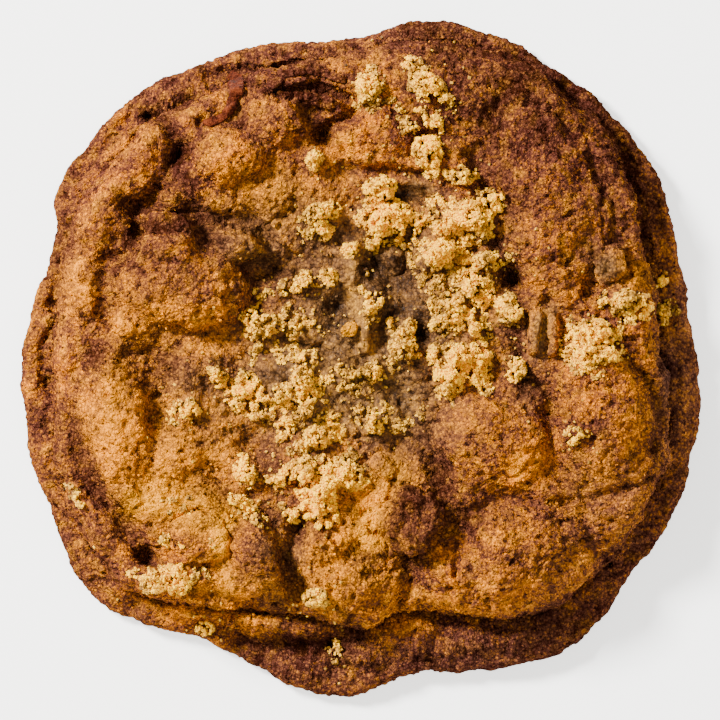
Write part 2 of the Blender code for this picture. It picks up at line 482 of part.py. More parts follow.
def make_dice(dice, material):
    """A cube of apple with rounded edges, a little uneven, half sunk in the dough."""
    draw = random.Random(dice.node)
    shape = bmesh.new()
    bmesh.ops.create_cube(shape, size=1.0)
    bmesh.ops.subdivide_edges(shape, edges=shape.edges[:], cuts=DICE_CUTS, use_grid_fill=True)
    for vertex in shape.verts:
        length = sum(abs(c) ** DICE_SQUARENESS for c in vertex.co) ** (1 / DICE_SQUARENESS)
        vertex.co *= 0.5 / length * (1 + draw.uniform(-DICE_JITTER, DICE_JITTER))
    bmesh.ops.scale(shape, vec=(dice.long, dice.wide, dice.tall), verts=shape.verts[:])
    height = surface_height(dice.x, dice.y) + dice.proud - dice.tall / 2
    turn = Matrix.Rotation(math.radians(dice.yaw), 4, "Z")
    turn @= Matrix.Rotation(math.radians(dice.tilt), 4, "Y")
    place = Matrix.Translation((dice.x, dice.y, height))
    bmesh.ops.transform(shape, matrix=Matrix.Scale(MM, 4) @ place @ turn, verts=shape.verts[:])
    bmesh.ops.triangulate(shape, faces=shape.faces[:])
    mesh_data = bpy.data.meshes.new(dice.node)
    shape.to_mesh(mesh_data)
    shape.free()
    return link(dice.node, mesh_data, material)


def strip_line(strip):
    """Points on a smooth curve through the strip's path, at the dough's height and arched."""
    path = [Vector((x, y)) for x, y in strip.path]
    ends = [2 * path[0] - path[1]] + path + [2 * path[-1] - path[-2]]
    spans = len(path) - 1
    line = []
    for i in range(STRIP_STEPS + 1):
        share = i / STRIP_STEPS
        place = min(share * spans, spans - 1e-6)
        k, t = int(place), place - int(place)
        p0, p1, p2, p3 = ends[k : k + 4]
        bend = (2 * p0 - 5 * p1 + 4 * p2 - p3) * t**2 + (3 * (p1 - p2) + p3 - p0) * t**3
        flat = 0.5 * (2 * p1 + (p2 - p0) * t + bend)
        rise = strip.proud - strip.thick / 2 + strip.arch * math.sin(math.pi * share)
        line.append(Vector((flat.x, flat.y, surface_height(flat.x, flat.y) + rise)))
    for before, point, after in zip(line, line[1:], line[2:]):
        point.z = (before.z + point.z + after.z) / 3
    return line


def make_strip(strip, material):
    """A flat strip of apple that follows its line; each ring of eight points is bridged to the next."""
    line = strip_line(strip)
    shape = bmesh.new()
    rings = []
    for i, point in enumerate(line):
        ahead = (line[min(i + 1, len(line) - 1)] - line[max(i - 1, 0)]).normalized()
        across = ahead.cross(Vector((0, 0, 1))).normalized()
        up = across.cross(ahead)
        taper = 0.55 + 0.45 * math.sin(math.pi * i / STRIP_STEPS)
        ring = []
        for corner in range(8):
            turn = math.tau * corner / 8
            side = across * (strip.width / 2 * taper * math.cos(turn))
            ring.append(shape.verts.new(point + side + up * (strip.thick / 2 * math.sin(turn))))
        rings.append(ring)
    for first, second in zip(rings, rings[1:]):
        for k in range(8):
            m = (k + 1) % 8
            shape.faces.new((first[k], first[m], second[m], second[k]))
    shape.faces.new(rings[0])
    shape.faces.new(rings[-1])
    bmesh.ops.scale(shape, vec=(MM, MM, MM), verts=shape.verts[:])
    bmesh.ops.triangulate(shape, faces=shape.faces[:])
    bmesh.ops.recalc_face_normals(shape, faces=shape.faces[:])
    mesh_data = bpy.data.meshes.new(strip.node)
    shape.to_mesh(mesh_data)
    shape.free()
    return link(strip.node, mesh_data, material)


def cut_pockets(dough, pieces):
    """Each piece of apple sits in a pocket of the dough, a small even gap away from it."""
    pockets = bpy.data.collections.new("pockets")
    bpy.context.scene.collection.children.link(pockets)
    for piece in pieces:
        mesh_data = piece.data.copy()
        shape = bmesh.new()
        shape.from_mesh(mesh_data)
        shape.normal_update()
        for vertex, normal in [(v, v.normal.copy()) for v in shape.verts]:
            vertex.co += normal * (POCKET_GAP * MM / max(0.7, vertex.calc_shell_factor() ** -1))
        shape.to_mesh(mesh_data)
        shape.free()
        pockets.objects.link(bpy.data.objects.new("pocket of " + piece.name, mesh_data))
    cut = dough.modifiers.new("pockets", "BOOLEAN")
    cut.operation = "DIFFERENCE"
    cut.operand_type = "COLLECTION"
    cut.collection = pockets
    cut.solver = "MANIFOLD"
    apply_modifiers(dough)
    remove_collection(pockets)


def remove_collection(collection):
    for obj in list(collection.objects):
        bpy.data.objects.remove(obj, do_unlink=True)
    bpy.data.collections.remove(collection)


def sugar_places(pieces):
    """(x, y, radius) of each clump: the largest come first, spread evenly through the patches."""
    draw = random.Random(SUGAR_SEED)
    kept_clear = [
        [(corner[0] / MM, corner[1] / MM) for corner in (v.co for v in piece.data.vertices)]
        for piece in pieces
    ]
    placed = []
    for rank in range(CLUMP_TRIES):
        for patch in SUGAR_PATCHES:
            radius = CLUMP_SIZE * patch.clump * CLUMP_SHRINK ** (rank / 2) * draw.uniform(0.85, 1.1)
            reach, turn = math.sqrt(draw.random()), draw.uniform(0, math.tau)
            if rank == 0:
                reach = 0
            along = patch.long * reach * math.cos(turn)
            across = patch.wide * reach * math.sin(turn)
            yaw = math.radians(patch.turn)
            x = patch.x + along * math.cos(yaw) - across * math.sin(yaw)
            y = patch.y + along * math.sin(yaw) + across * math.cos(yaw)
            if radius < SMALLEST_CLUMP or len(placed) >= MOST_CLUMPS:
                continue
            crowded = any(
                math.hypot(x - px, y - py) < CLUMP_SPACING * (radius + pr) / 2
                for px, py, pr in placed
            )
            on_apple = any(
                min(math.hypot(x - px, y - py) for px, py in corners) < radius + 2 * POCKET_GAP
                for corners in kept_clear
            )
            if not crowded and not on_apple:
                placed.append((x, y, radius))
    return placed


def add_sugar(dough, pieces):
    """Clumps of sugar are low, uneven lumps of twenty faces that are joined to the dough."""
    draw = random.Random(SUGAR_SEED + 1)
    clumps = bpy.data.collections.new("sugar clumps")
    bpy.context.scene.collection.children.link(clumps)
    for x, y, radius in sugar_places(pieces):
        shape = bmesh.new()
        bmesh.ops.create_icosphere(shape, subdivisions=1, radius=radius)
        for vertex in shape.verts:
            vertex.co *= draw.uniform(0.85, 1.12)
            vertex.co.z *= CLUMP_TALL
        turn = Matrix.Rotation(draw.uniform(0, math.tau), 4, "Z")
        place = Matrix.Translation((x, y, surface_height(x, y) + CLUMP_PROUD * radius))
        bmesh.ops.transform(shape, matrix=Matrix.Scale(MM, 4) @ place @ turn, verts=shape.verts[:])
        bmesh.ops.recalc_face_normals(shape, faces=shape.faces[:])
        mesh_data = bpy.data.meshes.new("clump")
        shape.to_mesh(mesh_data)
        shape.free()
        clumps.objects.link(bpy.data.objects.new("clump", mesh_data))
    join = dough.modifiers.new("sugar", "BOOLEAN")
    join.operation = "UNION"
    join.operand_type = "COLLECTION"
    join.collection = clumps
    join.solver = "MANIFOLD"
    apply_modifiers(dough)
    remove_collection(clumps)


def main():
    clear_scene()
    crust = make_material("baked crust", CRUST_COLOUR, 0.75)
    apple = make_material("baked apple", APPLE_COLOUR, 0.45)
    peel = make_material("apple peel", PEEL_COLOUR, 0.40)
    dough = make_dough(crust)
    pieces = [make_dice(dice, apple) for dice in APPLE_DICE]
    pieces += [make_strip(strip, peel) for strip in APPLE_STRIPS]
    cut_pockets(dough, pieces)
    add_sugar(dough, pieces)
    for obj in [dough] + pieces:
        obj.data.shade_smooth()


main()
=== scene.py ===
import math
import random

import bpy
import numpy as np
from mathutils import Euler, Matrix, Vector, noise
from mathutils.bvhtree import BVHTree
from mathutils.kdtree import KDTree


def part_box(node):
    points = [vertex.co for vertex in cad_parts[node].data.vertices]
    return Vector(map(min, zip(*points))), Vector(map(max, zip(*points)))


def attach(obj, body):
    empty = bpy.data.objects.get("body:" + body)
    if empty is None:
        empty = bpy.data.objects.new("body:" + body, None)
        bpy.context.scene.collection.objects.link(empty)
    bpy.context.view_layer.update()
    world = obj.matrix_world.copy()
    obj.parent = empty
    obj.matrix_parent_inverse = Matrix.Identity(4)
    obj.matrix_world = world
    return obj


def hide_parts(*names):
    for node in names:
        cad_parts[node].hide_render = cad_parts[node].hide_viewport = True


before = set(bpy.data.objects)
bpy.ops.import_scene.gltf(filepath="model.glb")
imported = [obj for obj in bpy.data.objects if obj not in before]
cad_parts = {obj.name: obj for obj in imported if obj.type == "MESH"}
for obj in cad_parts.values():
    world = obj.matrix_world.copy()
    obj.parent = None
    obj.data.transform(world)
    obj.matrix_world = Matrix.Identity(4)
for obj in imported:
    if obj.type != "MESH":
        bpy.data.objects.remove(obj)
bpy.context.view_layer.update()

# An apple cookie seen from straight above. Sizes in the dictionaries are in millimetres,
# +X is to the right of the photo and +Y to its top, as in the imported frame.
mm = 0.001


# small helpers

def hexToLinear(code):
    channels = [int(code[i:i + 2], 16) / 255 for i in (1, 3, 5)]
    linear = [c / 12.92 if c <= 0.04045 else ((c + 0.055) / 1.055) ** 2.4 for c in channels]
    return (*linear, 1.0)


def perMm(size):
    return 1000 / size  # texture scale, in object coordinates, for features of this size


def deselectAll():
    if bpy.context.object and bpy.context.object.mode != "OBJECT":
        bpy.ops.object.mode_set(mode="OBJECT")
    bpy.ops.object.select_all(action="DESELECT")


def startPiece(name):
    piece = bpy.context.object  # what the last primitive operator added
    piece.name = name
    piece.data.name = name
    return piece


def pick(piece):
    deselectAll()
    piece.select_set(True)
    bpy.context.view_layer.objects.active = piece


def applyModifier(piece, kind, settings):
    pick(piece)
    modifier = piece.modifiers.new(kind.lower(), kind)
    for key, value in settings.items():
        setattr(modifier, key, value)
    bpy.ops.object.modifier_apply(modifier=modifier.name)


def positions(piece):
    flat = np.empty(len(piece.data.vertices) * 3, np.float32)
    piece.data.vertices.foreach_get("co", flat)
    return flat.reshape(-1, 3).astype(float) / mm


def setPositions(piece, points):
    piece.data.vertices.foreach_set("co", (np.asarray(points) * mm).astype(np.float32).ravel())
    piece.data.update()


def paint(piece, name, values):
    layer = piece.data.attributes.new(name, "FLOAT", "POINT")
    layer.data.foreach_set("value", np.asarray(values, np.float32))


def noiseOf(x, y, size, layer):
    # each layer is a pattern of its own
    return np.array([noise.noise(Vector((a / size, b / size, layer))) for a, b in zip(x, y)])


def wander(x, y, reach, size, layer):
    # places moved a little to and fro, so that no edge runs too evenly
    return x + reach * noiseOf(x, y, size, layer), y + reach * noiseOf(x, y, size, layer + 6)


def smoothStep(low, high, value):
    t = np.clip((value - low) / (high - low), 0, 1)
    return t * t * (3 - 2 * t)


def ellipseReach(x, y, cx, cy, long, wide, turn):
    angle = math.radians(turn)
    dx, dy = x - cx, y - cy
    along = (dx * math.cos(angle) + dy * math.sin(angle)) / long
    across = (dy * math.cos(angle) - dx * math.sin(angle)) / wide
    return along**2 + across**2  # 1 on the ellipse's line


def addNode(tree, kind, settings=None, links=None):
    node = tree.nodes.new(kind)
    for key, value in (settings or {}).items():
        if isinstance(key, str) and hasattr(node, key):
            setattr(node, key, value)
        else:
            node.inputs[key].default_value = value
    for key, (source, socket) in (links or {}).items():
        tree.links.new(source.outputs[socket], node.inputs[key])
    return node


def newMaterial(name):
    material = bpy.data.materials.new(name)
    material.use_nodes = True
    material.node_tree.nodes.clear()
    return material, material.node_tree


def setRamp(node, stops):
    ramp = node.color_ramp
    while len(ramp.elements) < len(stops):
        ramp.elements.new(0.5)
    for element, (place, code) in zip(ramp.elements, stops):
        element.position = place
        element.color = hexToLinear(code) if isinstance(code, str) else (code, code, code, 1)


def wear(piece, material):
    piece.data.materials.clear()
    piece.data.materials.append(material)
    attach(piece, "root")


# camera first, so that a look at any stage shows the right frame

view = {
    "pixels": 720, "pixelMm": 0.13314,  # the 90 mm cookie spans 676 pixels
    "centreMm": (0.0, -0.4),
    "planeMm": 7.0,  # the height that is at true scale
    "distanceMm": 1400, "clip": (0.05, 10),  # in metres
}


def makeCamera():
    data = bpy.data.cameras.new("camera")
    camera = bpy.data.objects.new("camera", data)
    bpy.context.scene.collection.objects.link(camera)
    widthMm = view["pixels"] * view["pixelMm"]
    data.lens = data.sensor_width * view["distanceMm"] / widthMm
    data.clip_start, data.clip_end = view["clip"]
    x, y = view["centreMm"]
    camera.location = Vector((x, y, view["planeMm"] + view["distanceMm"])) * mm
    bpy.context.scene.camera = camera


makeCamera()
print("camera ready")


# the dough

dough = {
    "cells": 298,
    "topShare": 0.80, "lipShare": 0.885, "skirtShare": 0.95,  # of the grid, from middle to foot
    # outline radius every ten degrees, anticlockwise from +X: the rim, and the crown's lip
    "rimRadii": [
        45.1, 44.2, 45.1, 46.2, 46.6, 46.7, 46.5, 46.6, 45.7, 42.8, 42.9, 44.1,
        44.6, 46.3, 46.1, 46.2, 43.5, 44.1, 45.1, 45.9, 46.2, 46.8, 47.9, 46.2,
        43.4, 43.4, 45.2, 45.1, 42.9, 44.8, 46.9, 47.8, 46.5, 46.7, 46.6, 46.1,
    ],
    "crownRadii": [
        40.5, 40.0, 40.8, 42.8, 44.2, 44.6, 44.8, 44.2, 43.0, 40.9, 40.2, 40.6,
        40.4, 42.0, 42.0, 42.8, 41.8, 41.0, 41.2, 41.0, 42.8, 44.0, 44.3, 42.4,
        38.6, 36.0, 34.9, 36.4, 34.4, 36.8, 40.4, 42.2, 42.8, 43.3, 43.3, 42.0,
    ],
    "basinHeight": 9.8, "shoulderHeight": 12.4, "lipHeight": 6.6, "grooveHeight": 3.9,
    "rimCrestHeight": 4.9, "rimEdgeHeight": 3.5, "rimFallFrom": 0.3, "trimDepth": 0.5,
    "edgeFall": 2.4, "fallFrom": 0.75,  # the crown drops from this share of its radius
    "basinCentre": (1.5, 1.0), "basinRadius": 13.0, "shoulderRadius": 23.0,
    "lipRadius": 2.7, "lipTurn": math.radians(150),
    "edgeRadius": 1.5, "edgeTurn": math.radians(165), "meanRadius": 45,
    # to the upper right the crown runs out over the rim, with hardly a groove under its lip
    "mergedAngle": math.radians(50), "mergedSpread": math.radians(36),
    "mergedLipTurn": math.radians(100), "mergedGroove": 5.6,
    "warpReach": 0.9, "warpSize": 7.0, "swellHeight": 0.7, "swellSize": 9.0,
    "cragHeight": 0.45, "cragSize": 2.6, "frayReach": 0.45, "fraySize": 3.2,
    "lumpSink": 7.4, "lumpFullness": 1.25, "blendSharpness": 1.7,
    "driftHeight": 1.0, "driftSize": 2.1, "driftMean": 0.55, "driftVaries": 0.75,  # melted sugar
    # a lump of dough over a piece of fruit: x, y, half length, half width, turn, top
    "lumps": {
        "north-west shoulder": (-30.6, 26.8, 8.6, 6.4, 52, 14.8),
        "west shoulder": (-35.0, 19.6, 6.4, 5.2, 70, 14.2),
        "shelf in the gorge": (-23.4, 21.4, 4.4, 3.0, 10, 14.0),
        "slope over the gorge": (-29.4, 22.6, 5.4, 3.6, 20, 13.9),
        "north-west knob": (-17.4, 26.2, 5.8, 4.6, 20, 15.8),
        "knob by the peel": (-11.4, 31.2, 4.8, 4.4, -20, 15.4),
        "bud by the peel": (-21.2, 33.6, 4.2, 3.4, 30, 13.6),
        "sunny slope": (-13.0, 21.0, 6.4, 3.6, -10, 13.2),
        "great west lump": (-23.6, 9.8, 10.0, 6.8, -10, 17.0),
        "peak of the west lump": (-25.8, 14.0, 5.4, 4.2, 10, 17.6),
        "pale shelf": (-16.0, 14.6, 5.5, 3.0, -12, 14.4),
        "west edge lump": (-36.6, 9.4, 7.0, 4.2, 84, 14.0),
        "west bud": (-30.0, 3.6, 4.8, 4.2, 30, 14.4),
        "low west lump": (-37.6, 0.6, 5.0, 4.6, 20, 12.8),
        "west ridge": (-32.6, -8.6, 12.6, 5.6, 98, 15.6),
        "west hollow floor": (-22.4, -2.2, 6.8, 5.2, 80, 13.6),
        "south-west dome": (-24.0, -11.8, 6.8, 6.0, 60, 13.8),
        "south-west bow": (-14.2, -25.8, 7.4, 4.0, 102, 15.2),
        "bow's foot": (-16.4, -30.2, 6.6, 2.8, -8, 13.0),
        "low south-west lump": (-31.6, -25.6, 5.6, 4.0, -46, 9.8),
        "wet south-west lump": (-27.4, -20.4, 4.6, 3.6, 0, 12.2),
        "south lump": (-1.6, -30.4, 6.0, 5.0, 20, 14.0),
        "bud over the south lump": (-4.4, -24.2, 4.8, 3.8, -10, 14.2),
        "small south lump": (11.4, -29.6, 4.8, 4.4, -20, 13.4),
        "great south-east lump": (20.8, -26.4, 8.6, 7.6, 10, 15.4),
        "great east lump": (17.8, -11.8, 8.8, 7.6, -30, 15.0),
        "outer east lump": (32.0, -7.4, 10.0, 7.2, 86, 15.6),
        "south-east corner": (34.4, -19.4, 6.4, 5.0, 40, 13.2),
        "south-east edge": (29.4, -29.0, 5.0, 3.8, 42, 12.4),
        "east ridge": (37.6, 4.4, 7.4, 2.8, 100, 12.0),
        "north-east plateau": (24.4, 18.4, 14.0, 8.4, 108, 14.0),
        "north-east brow": (24.0, 33.0, 9.6, 6.0, -34, 12.6),
        "outer brow": (34.6, 22.0, 9.0, 3.8, 112, 12.2),
        "top plateau": (9.6, 35.2, 9.6, 6.2, -8, 13.2),
        "top knob": (1.8, 29.2, 7.0, 4.8, -8, 14.6),
        "north shelf": (-5.4, 21.0, 6.4, 4.2, 8, 12.6),
        "east bud": (36.4, 15.8, 4.6, 2.8, 100, 12.6),
        "middle bridge": (9.6, 15.0, 8.8, 5.0, 40, 12.0),
        "middle hump": (13.4, 3.6, 6.4, 4.8, 100, 12.2),
        "sugared hump": (-9.8, -3.8, 7.8, 5.8, -40, 12.0),
        "sugared slope": (-5.4, -16.4, 7.2, 4.4, 6, 12.6),
    },
    # a fold or crack: its points, half width, depth
    "folds": {
        "north-west gorge": ([(-31, 20.4), (-28, 20.4), (-25.4, 23.6), (-23.4, 27.6)], 0.9, 1.5),
        "west gorge": ([(-34, 13.4), (-31, 13.6), (-29.4, 15.4), (-29.8, 19.2)], 0.8, 1.4),
        "crease under the knob": ([(-22, 20), (-18, 18.4), (-14, 17.4), (-11.6, 15)], 0.9, 1.2),
        "west cheek": ([(-33.6, 12.6), (-34, 8.6), (-33.6, 3.6), (-28, 0.4)], 0.9, 0.9),
        "basin's north-west wall": ([(-14.2, 12.4), (-11.4, 11.8), (-8.6, 13)], 1.3, 1.3),
        "ridge's inner side": ([(-27.6, 0), (-27, -4), (-27.2, -9)], 1.3, 0.9),
        "burnt furrow": ([(-38, -9), (-36.8, -16), (-33, -21), (-28.4, -26.4)], 1.3, 2.2),
        "furrow's end": ([(-28.4, -26.4), (-22, -31.6), (-14, -33)], 0.9, 1.8),
        "north-east wall": ([(15.2, 27), (16, 23.4), (18.4, 20)], 1.1, 1.6),
        "east wall": ([(17.4, 15.6), (19.6, 12), (21.6, 9.4)], 1.2, 2.2),
        "outer east crack": ([(30, 16.4), (31, 12.6), (30.6, 9)], 0.9, 1.2),
        "east valley": ([(21, 1), (22.2, -3), (25, -6), (25.6, -13), (27, -16.4)], 1.1, 1.2),
        "south-east crease": ([(12, -20.8), (15.4, -20.4), (20.4, -18.6), (26.4, -19.2)], 0.6, 0.9),
        "south-east seam": ([(26.4, -19.2), (29.4, -21.4), (30.4, -25), (33, -27.4)], 0.7, 1.0),
        "crack in the dome": ([(12.4, -24.4), (12.6, -26.2), (12.2, -28.4)], 0.4, 1.0),
        "south crease": ([(9.4, -14), (11.2, -18), (12, -22)], 1.4, 1.1),
        "south crack": ([(6.4, -26.4), (6.8, -29.4), (5.6, -33)], 1.0, 1.5),
        "valley by the bow": ([(-8.4, -22), (-9.8, -26.6), (-8, -31)], 1.3, 2.2),
        "outer lump's edge": ([(35, -0.4), (38.2, -3), (39.8, -8), (39, -13)], 0.7, 1.5),
        "crease under the top knob": ([(-2, 24.8), (3, 25), (8, 24.2)], 0.6, 0.9),
        "hollow in the curl": ([(-9.8, 35.7), (-6.6, 36.0), (-3.4, 35.4), (-1.8, 34.4)], 0.6, 2.0),
        "hollow under the curl": ([(-6.9, 32.6), (-5.7, 31.2), (-5.2, 29.6)], 1.7, 1.8),
        "corner crack": ([(31.6, -18.6), (35, -18), (38, -16.4)], 0.6, 1.2),
        "gap under the ledge": ([(-16, -38), (-11, -38.5), (-5, -38.4), (0, -37.2)], 1.2, 2.4),
        "top band crease": (
            [(-20, 37.6), (-15, 38.6), (-12, 37.9), (-9.2, 39), (-6, 38.9), (-4.2, 38)], 0.6, 1.5),
        "top brow crease": ([(3, 41.3), (8, 41), (14, 41.6)], 0.7, 1.3),
        "first outer wrinkle": ([(27, 36), (33, 29), (37, 20), (38, 14)], 0.6, 0.9),
        "second outer wrinkle": ([(31, 28), (34.6, 20), (35.6, 13)], 0.5, 0.7),
        "shoulder's outer crease": (
            [(-38.6, 23.4), (-35.4, 26.6), (-31.4, 31), (-28.4, 32.2)], 0.7, 1.6),
        "shoulder's top crease": ([(-28.4, 32.2), (-26, 31.4), (-24.4, 29.2), (-23, 26.6)], 0.7, 1.4),
        "west lip crease": ([(-41, 7), (-40.2, 12.4), (-38.8, 17.6)], 0.7, 1.5),
        "hollow by the peel": ([(-15, 36.5), (-13, 35.7), (-11.6, 35.4)], 0.8, 1.8),
        "crack beside the slice": ([(-1, 33), (-2.6, 31.9), (-4.6, 30.2)], 0.6, 1.8),
        "third outer wrinkle": ([(31, 26), (33, 20.6), (33.4, 15.4), (35, 11)], 0.7, 1.0),
        "brow wrinkle": ([(16, 38), (21, 35.6), (26.6, 32), (29.6, 28)], 0.7, 0.8),
        "crack in the middle": ([(-9, 1.9), (-6.4, 1.4), (-4.4, 0.6)], 0.6, 1.0),
        "north hollow": ([(4.4, 21.8), (6.6, 21.6), (9, 20.8)], 0.8, 1.4),
        "left band crease": ([(-41, 4), (-42.6, 1), (-41.2, -5)], 0.7, 1.2),
    },
    "ridges": {
        "south ledge": ([(-24, -33.4), (-18, -34.8), (-10, -36), (-3, -35.8)], 1.6, 2.2),
        "south apron": ([(2, -39), (10, -38.4), (20, -37.8), (28, -35)], 2.4, 0.9),
        "bright rim of the bow": ([(-22, -19.6), (-17.6, -21.4), (-17, -28)], 0.9, 0.7),
        "south bump": ([(3.6, -36.4), (6.2, -35.2), (9.2, -35.8)], 1.5, 1.7),
        "golden ridge": ([(-0.8, 14), (-1, 9), (0, 4.6), (0.6, 1.2)], 0.9, 1.0),
        "north lip": ([(-4, 25.4), (2, 26), (7, 25.8), (11, 24.4)], 0.8, 0.7),
        "right band": ([(37.6, 26), (41, 15), (43, 4), (43.4, -8)], 1.1, 0.8),
        "left band": ([(-41, 12), (-43.2, 4), (-43, -8), (-41.8, -15)], 1.0, 0.8),
    },
    # a pit: x, y, radius, depth
    "pits": [
        (-28.6, 20.0, 1.6, 1.0), (-24.0, 26.6, 1.4, 1.8), (-5.0, 29.2, 1.0, 3.0),
        (4.4, 12.4, 3.2, 2.6), (-3.4, 6.2, 2.2, 1.6), (-11.6, 12.0, 1.5, 1.2),
        (20.2, 11.0, 1.7, 2.2), (22.4, -3.2, 1.6, 1.2), (6.8, 16.8, 1.2, 1.2),
        (8.4, 3.2, 1.5, 2.0), (5.6, -5.0, 2.0, 1.4), (-14.0, -11.6, 2.6, 1.6),
        (2.6, 2.6, 1.5, 1.0), (6.2, 6.8, 1.8, 1.0), (25.0, 7.5, 0.7, 1.6),
        (-27.2, -27.2, 1.1, 1.6), (17.2, -32.6, 0.8, 1.2), (23.6, -26.8, 0.9, 1.0),
    ],
}

sugarPatches = [  # x, y, half length, half width, turn, largest clump's radius
    (1.2, 36.0, 2.6, 2.2, 80, 1.3), (8.6, 36.2, 4.2, 2.2, -45, 1.5),
    (9.4, 31.2, 2.6, 1.2, 0, 1.0), (9.0, 27.2, 3.0, 1.8, -50, 1.8),
    (13.2, 24.2, 2.8, 1.6, -10, 1.4), (-6.0, 26.2, 1.2, 1.6, 0, 1.2),
    (3.0, 22.2, 2.4, 1.8, 0, 1.4), (3.0, 17.8, 4.0, 2.8, 10, 1.9),
    (14.8, 18.8, 5.0, 3.2, 10, 2.0), (-5.4, 18.2, 2.6, 2.0, 60, 1.2),
    (10.4, 13.6, 5.2, 3.2, 70, 1.8), (17.4, 12.8, 3.4, 1.4, 10, 1.3),
    (12.0, 6.6, 4.8, 3.8, 20, 1.7), (19.8, 6.2, 3.4, 1.9, -70, 1.5),
    (1.8, 7.4, 1.8, 2.6, 0, 1.3), (-7.6, 10.2, 2.8, 1.8, 0, 1.3),
    (-12.6, 4.6, 5.4, 2.4, 12, 1.4), (-2.2, 4.2, 1.6, 1.3, 0, 1.5),
    (5.8, 1.6, 1.7, 3.0, 0, 1.6), (13.2, -0.2, 3.4, 4.0, 0, 1.5),
    (20.4, -1.6, 1.8, 1.8, 0, 1.2), (-15.4, -3.6, 5.6, 2.2, -28, 1.6),
    (-7.6, -2.8, 4.4, 3.6, -40, 1.5), (1.2, -2.2, 1.8, 1.8, 0, 1.4),
    (-10.0, -9.4, 5.0, 2.4, -30, 1.5), (2.0, -8.6, 2.0, 2.0, 0, 1.5),
    (-22.6, -7.0, 2.6, 1.5, 15, 1.2), (-15.4, -14.8, 2.8, 1.9, -70, 1.4),
    (-7.4, -15.0, 5.6, 3.2, 0, 1.7), (-1.2, -15.8, 2.6, 2.2, 0, 1.5),
    (-14.8, -20.2, 3.2, 1.3, -40, 1.2), (-6.4, -20.2, 3.8, 2.6, 0, 1.4),
    (-25.2, -29.2, 5.2, 2.0, 0, 1.7), (-20.8, -36.2, 1.4, 0.9, 0, 1.0),
    (-6.0, -31.8, 1.6, 1.5, 0, 1.2), (-3.2, -39.2, 0.9, 1.7, 0, 0.9),
    (31.0, 2.2, 3.8, 3.8, 0, 2.4), (35.6, 7.2, 2.8, 1.9, 10, 1.5),
    (40.6, 6.2, 1.1, 2.0, 0, 0.9), (28.2, -10.4, 1.6, 1.6, 0, 1.2),
]


def around(radii, angle):
    radii = np.asarray(radii)
    place = (np.asarray(angle) % math.tau) / math.tau * len(radii)
    step = np.floor(place).astype(int)
    t = place - step
    p0, p1, p2, p3 = (radii[(step + k) % len(radii)] for k in (-1, 0, 1, 2))
    return 0.5 * (2 * p1 + (p2 - p0) * t + (2 * p0 - 5 * p1 + 4 * p2 - p3) * t**2
                  + (3 * (p1 - p2) + p3 - p0) * t**3)


def howFarOut(x, y, outline):
    return np.hypot(x, y) / around(dough[outline], np.arctan2(y, x))  # 1 on the outline


def distanceToPath(x, y, path):
    nearest = np.full(len(x), 1e9)
    for (ax, ay), (bx, by) in zip(path, path[1:]):
        dx, dy = bx - ax, by - ay
        t = np.clip(((x - ax) * dx + (y - ay) * dy) / (dx * dx + dy * dy), 0, 1)
        nearest = np.minimum(nearest, np.hypot(x - ax - t * dx, y - ay - t * dy))
    return nearest


def foldRelief(x, y):
    change = np.zeros(len(x))
    for path, width, height in dough["ridges"].values():
        change += height * np.exp(-((distanceToPath(x, y, path) / width) ** 2))
    for path, width, depth in dough["folds"].values():
        change -= depth * np.exp(-((distanceToPath(x, y, path) / width) ** 2))
    for cx, cy, radius, depth in dough["pits"]:
        change -= depth * np.exp(-((np.hypot(x - cx, y - cy) / radius) ** 2))
    return change


def sugarCover(x, y):
    cover = np.zeros(len(x))
    for cx, cy, long, wide, turn, _ in sugarPatches:
        cover = np.maximum(cover, np.exp(-(ellipseReach(x, y, cx, cy, long, wide, turn) ** 2)))
    return cover


def crownTop(x, y):
    d = dough
    wx, wy = wander(x, y, d["warpReach"], d["warpSize"], 1.5)
    fromBasin = np.hypot(wx - d["basinCentre"][0], wy - d["basinCentre"][1])
    rise = smoothStep(d["basinRadius"], d["shoulderRadius"], fromBasin)
    floorHeight = d["basinHeight"] + (d["shoulderHeight"] - d["basinHeight"]) * rise
    floorHeight += d["swellHeight"] * noiseOf(x, y, d["swellSize"], 3.5)
    surfaces = [floorHeight]
    for cx, cy, long, wide, turn, top in d["lumps"].values():
        reach = ellipseReach(wx, wy, cx, cy, long, wide, turn)
        spread = np.clip(1 - reach ** d["lumpFullness"], 0, None)
        surfaces.append(top - d["lumpSink"] * (1 - np.sqrt(spread)))
    surfaces = np.array(surfaces)
    highest = surfaces.max(axis=0)
    total = np.exp(d["blendSharpness"] * (surfaces - highest)).sum(axis=0)
    height = highest + np.log(total) / d["blendSharpness"]
    fall = (howFarOut(x, y, "crownRadii") - d["fallFrom"]) / (1 - d["fallFrom"])
    height -= d["edgeFall"] * np.clip(fall, 0, 1) ** 2
    height += d["cragHeight"] * noiseOf(x, y, d["cragSize"], 5.5)
    heaps = np.clip(d["driftMean"] + d["driftVaries"] * noiseOf(x, y, d["driftSize"], 11.5), 0, None)
    return height + foldRelief(wx, wy) + d["driftHeight"] * sugarCover(x, y) * heaps


def mergedShare(angle):
    away = (angle - dough["mergedAngle"] + math.pi) % math.tau - math.pi
    return np.exp(-((away / dough["mergedSpread"]) ** 2))


def rimTop(x, y, share):
    d = dough
    merged = mergedShare(np.arctan2(y, x))
    groove = d["grooveHeight"] + (d["mergedGroove"] - d["grooveHeight"]) * merged
    crest = groove + (d["rimCrestHeight"] - groove) * np.sin(math.pi * share)
    fall = (groove - d["rimEdgeHeight"]) * smoothStep(d["rimFallFrom"], 1.0, share)
    wrinkles = 2 * d["cragHeight"] * noiseOf(x, y, d["cragSize"], 9.5)
    fade = np.clip(share * 3, 0, 1)  # the relief starts a third of the way out from the groove
    return crest - fall + fade * (wrinkles + foldRelief(x, y))


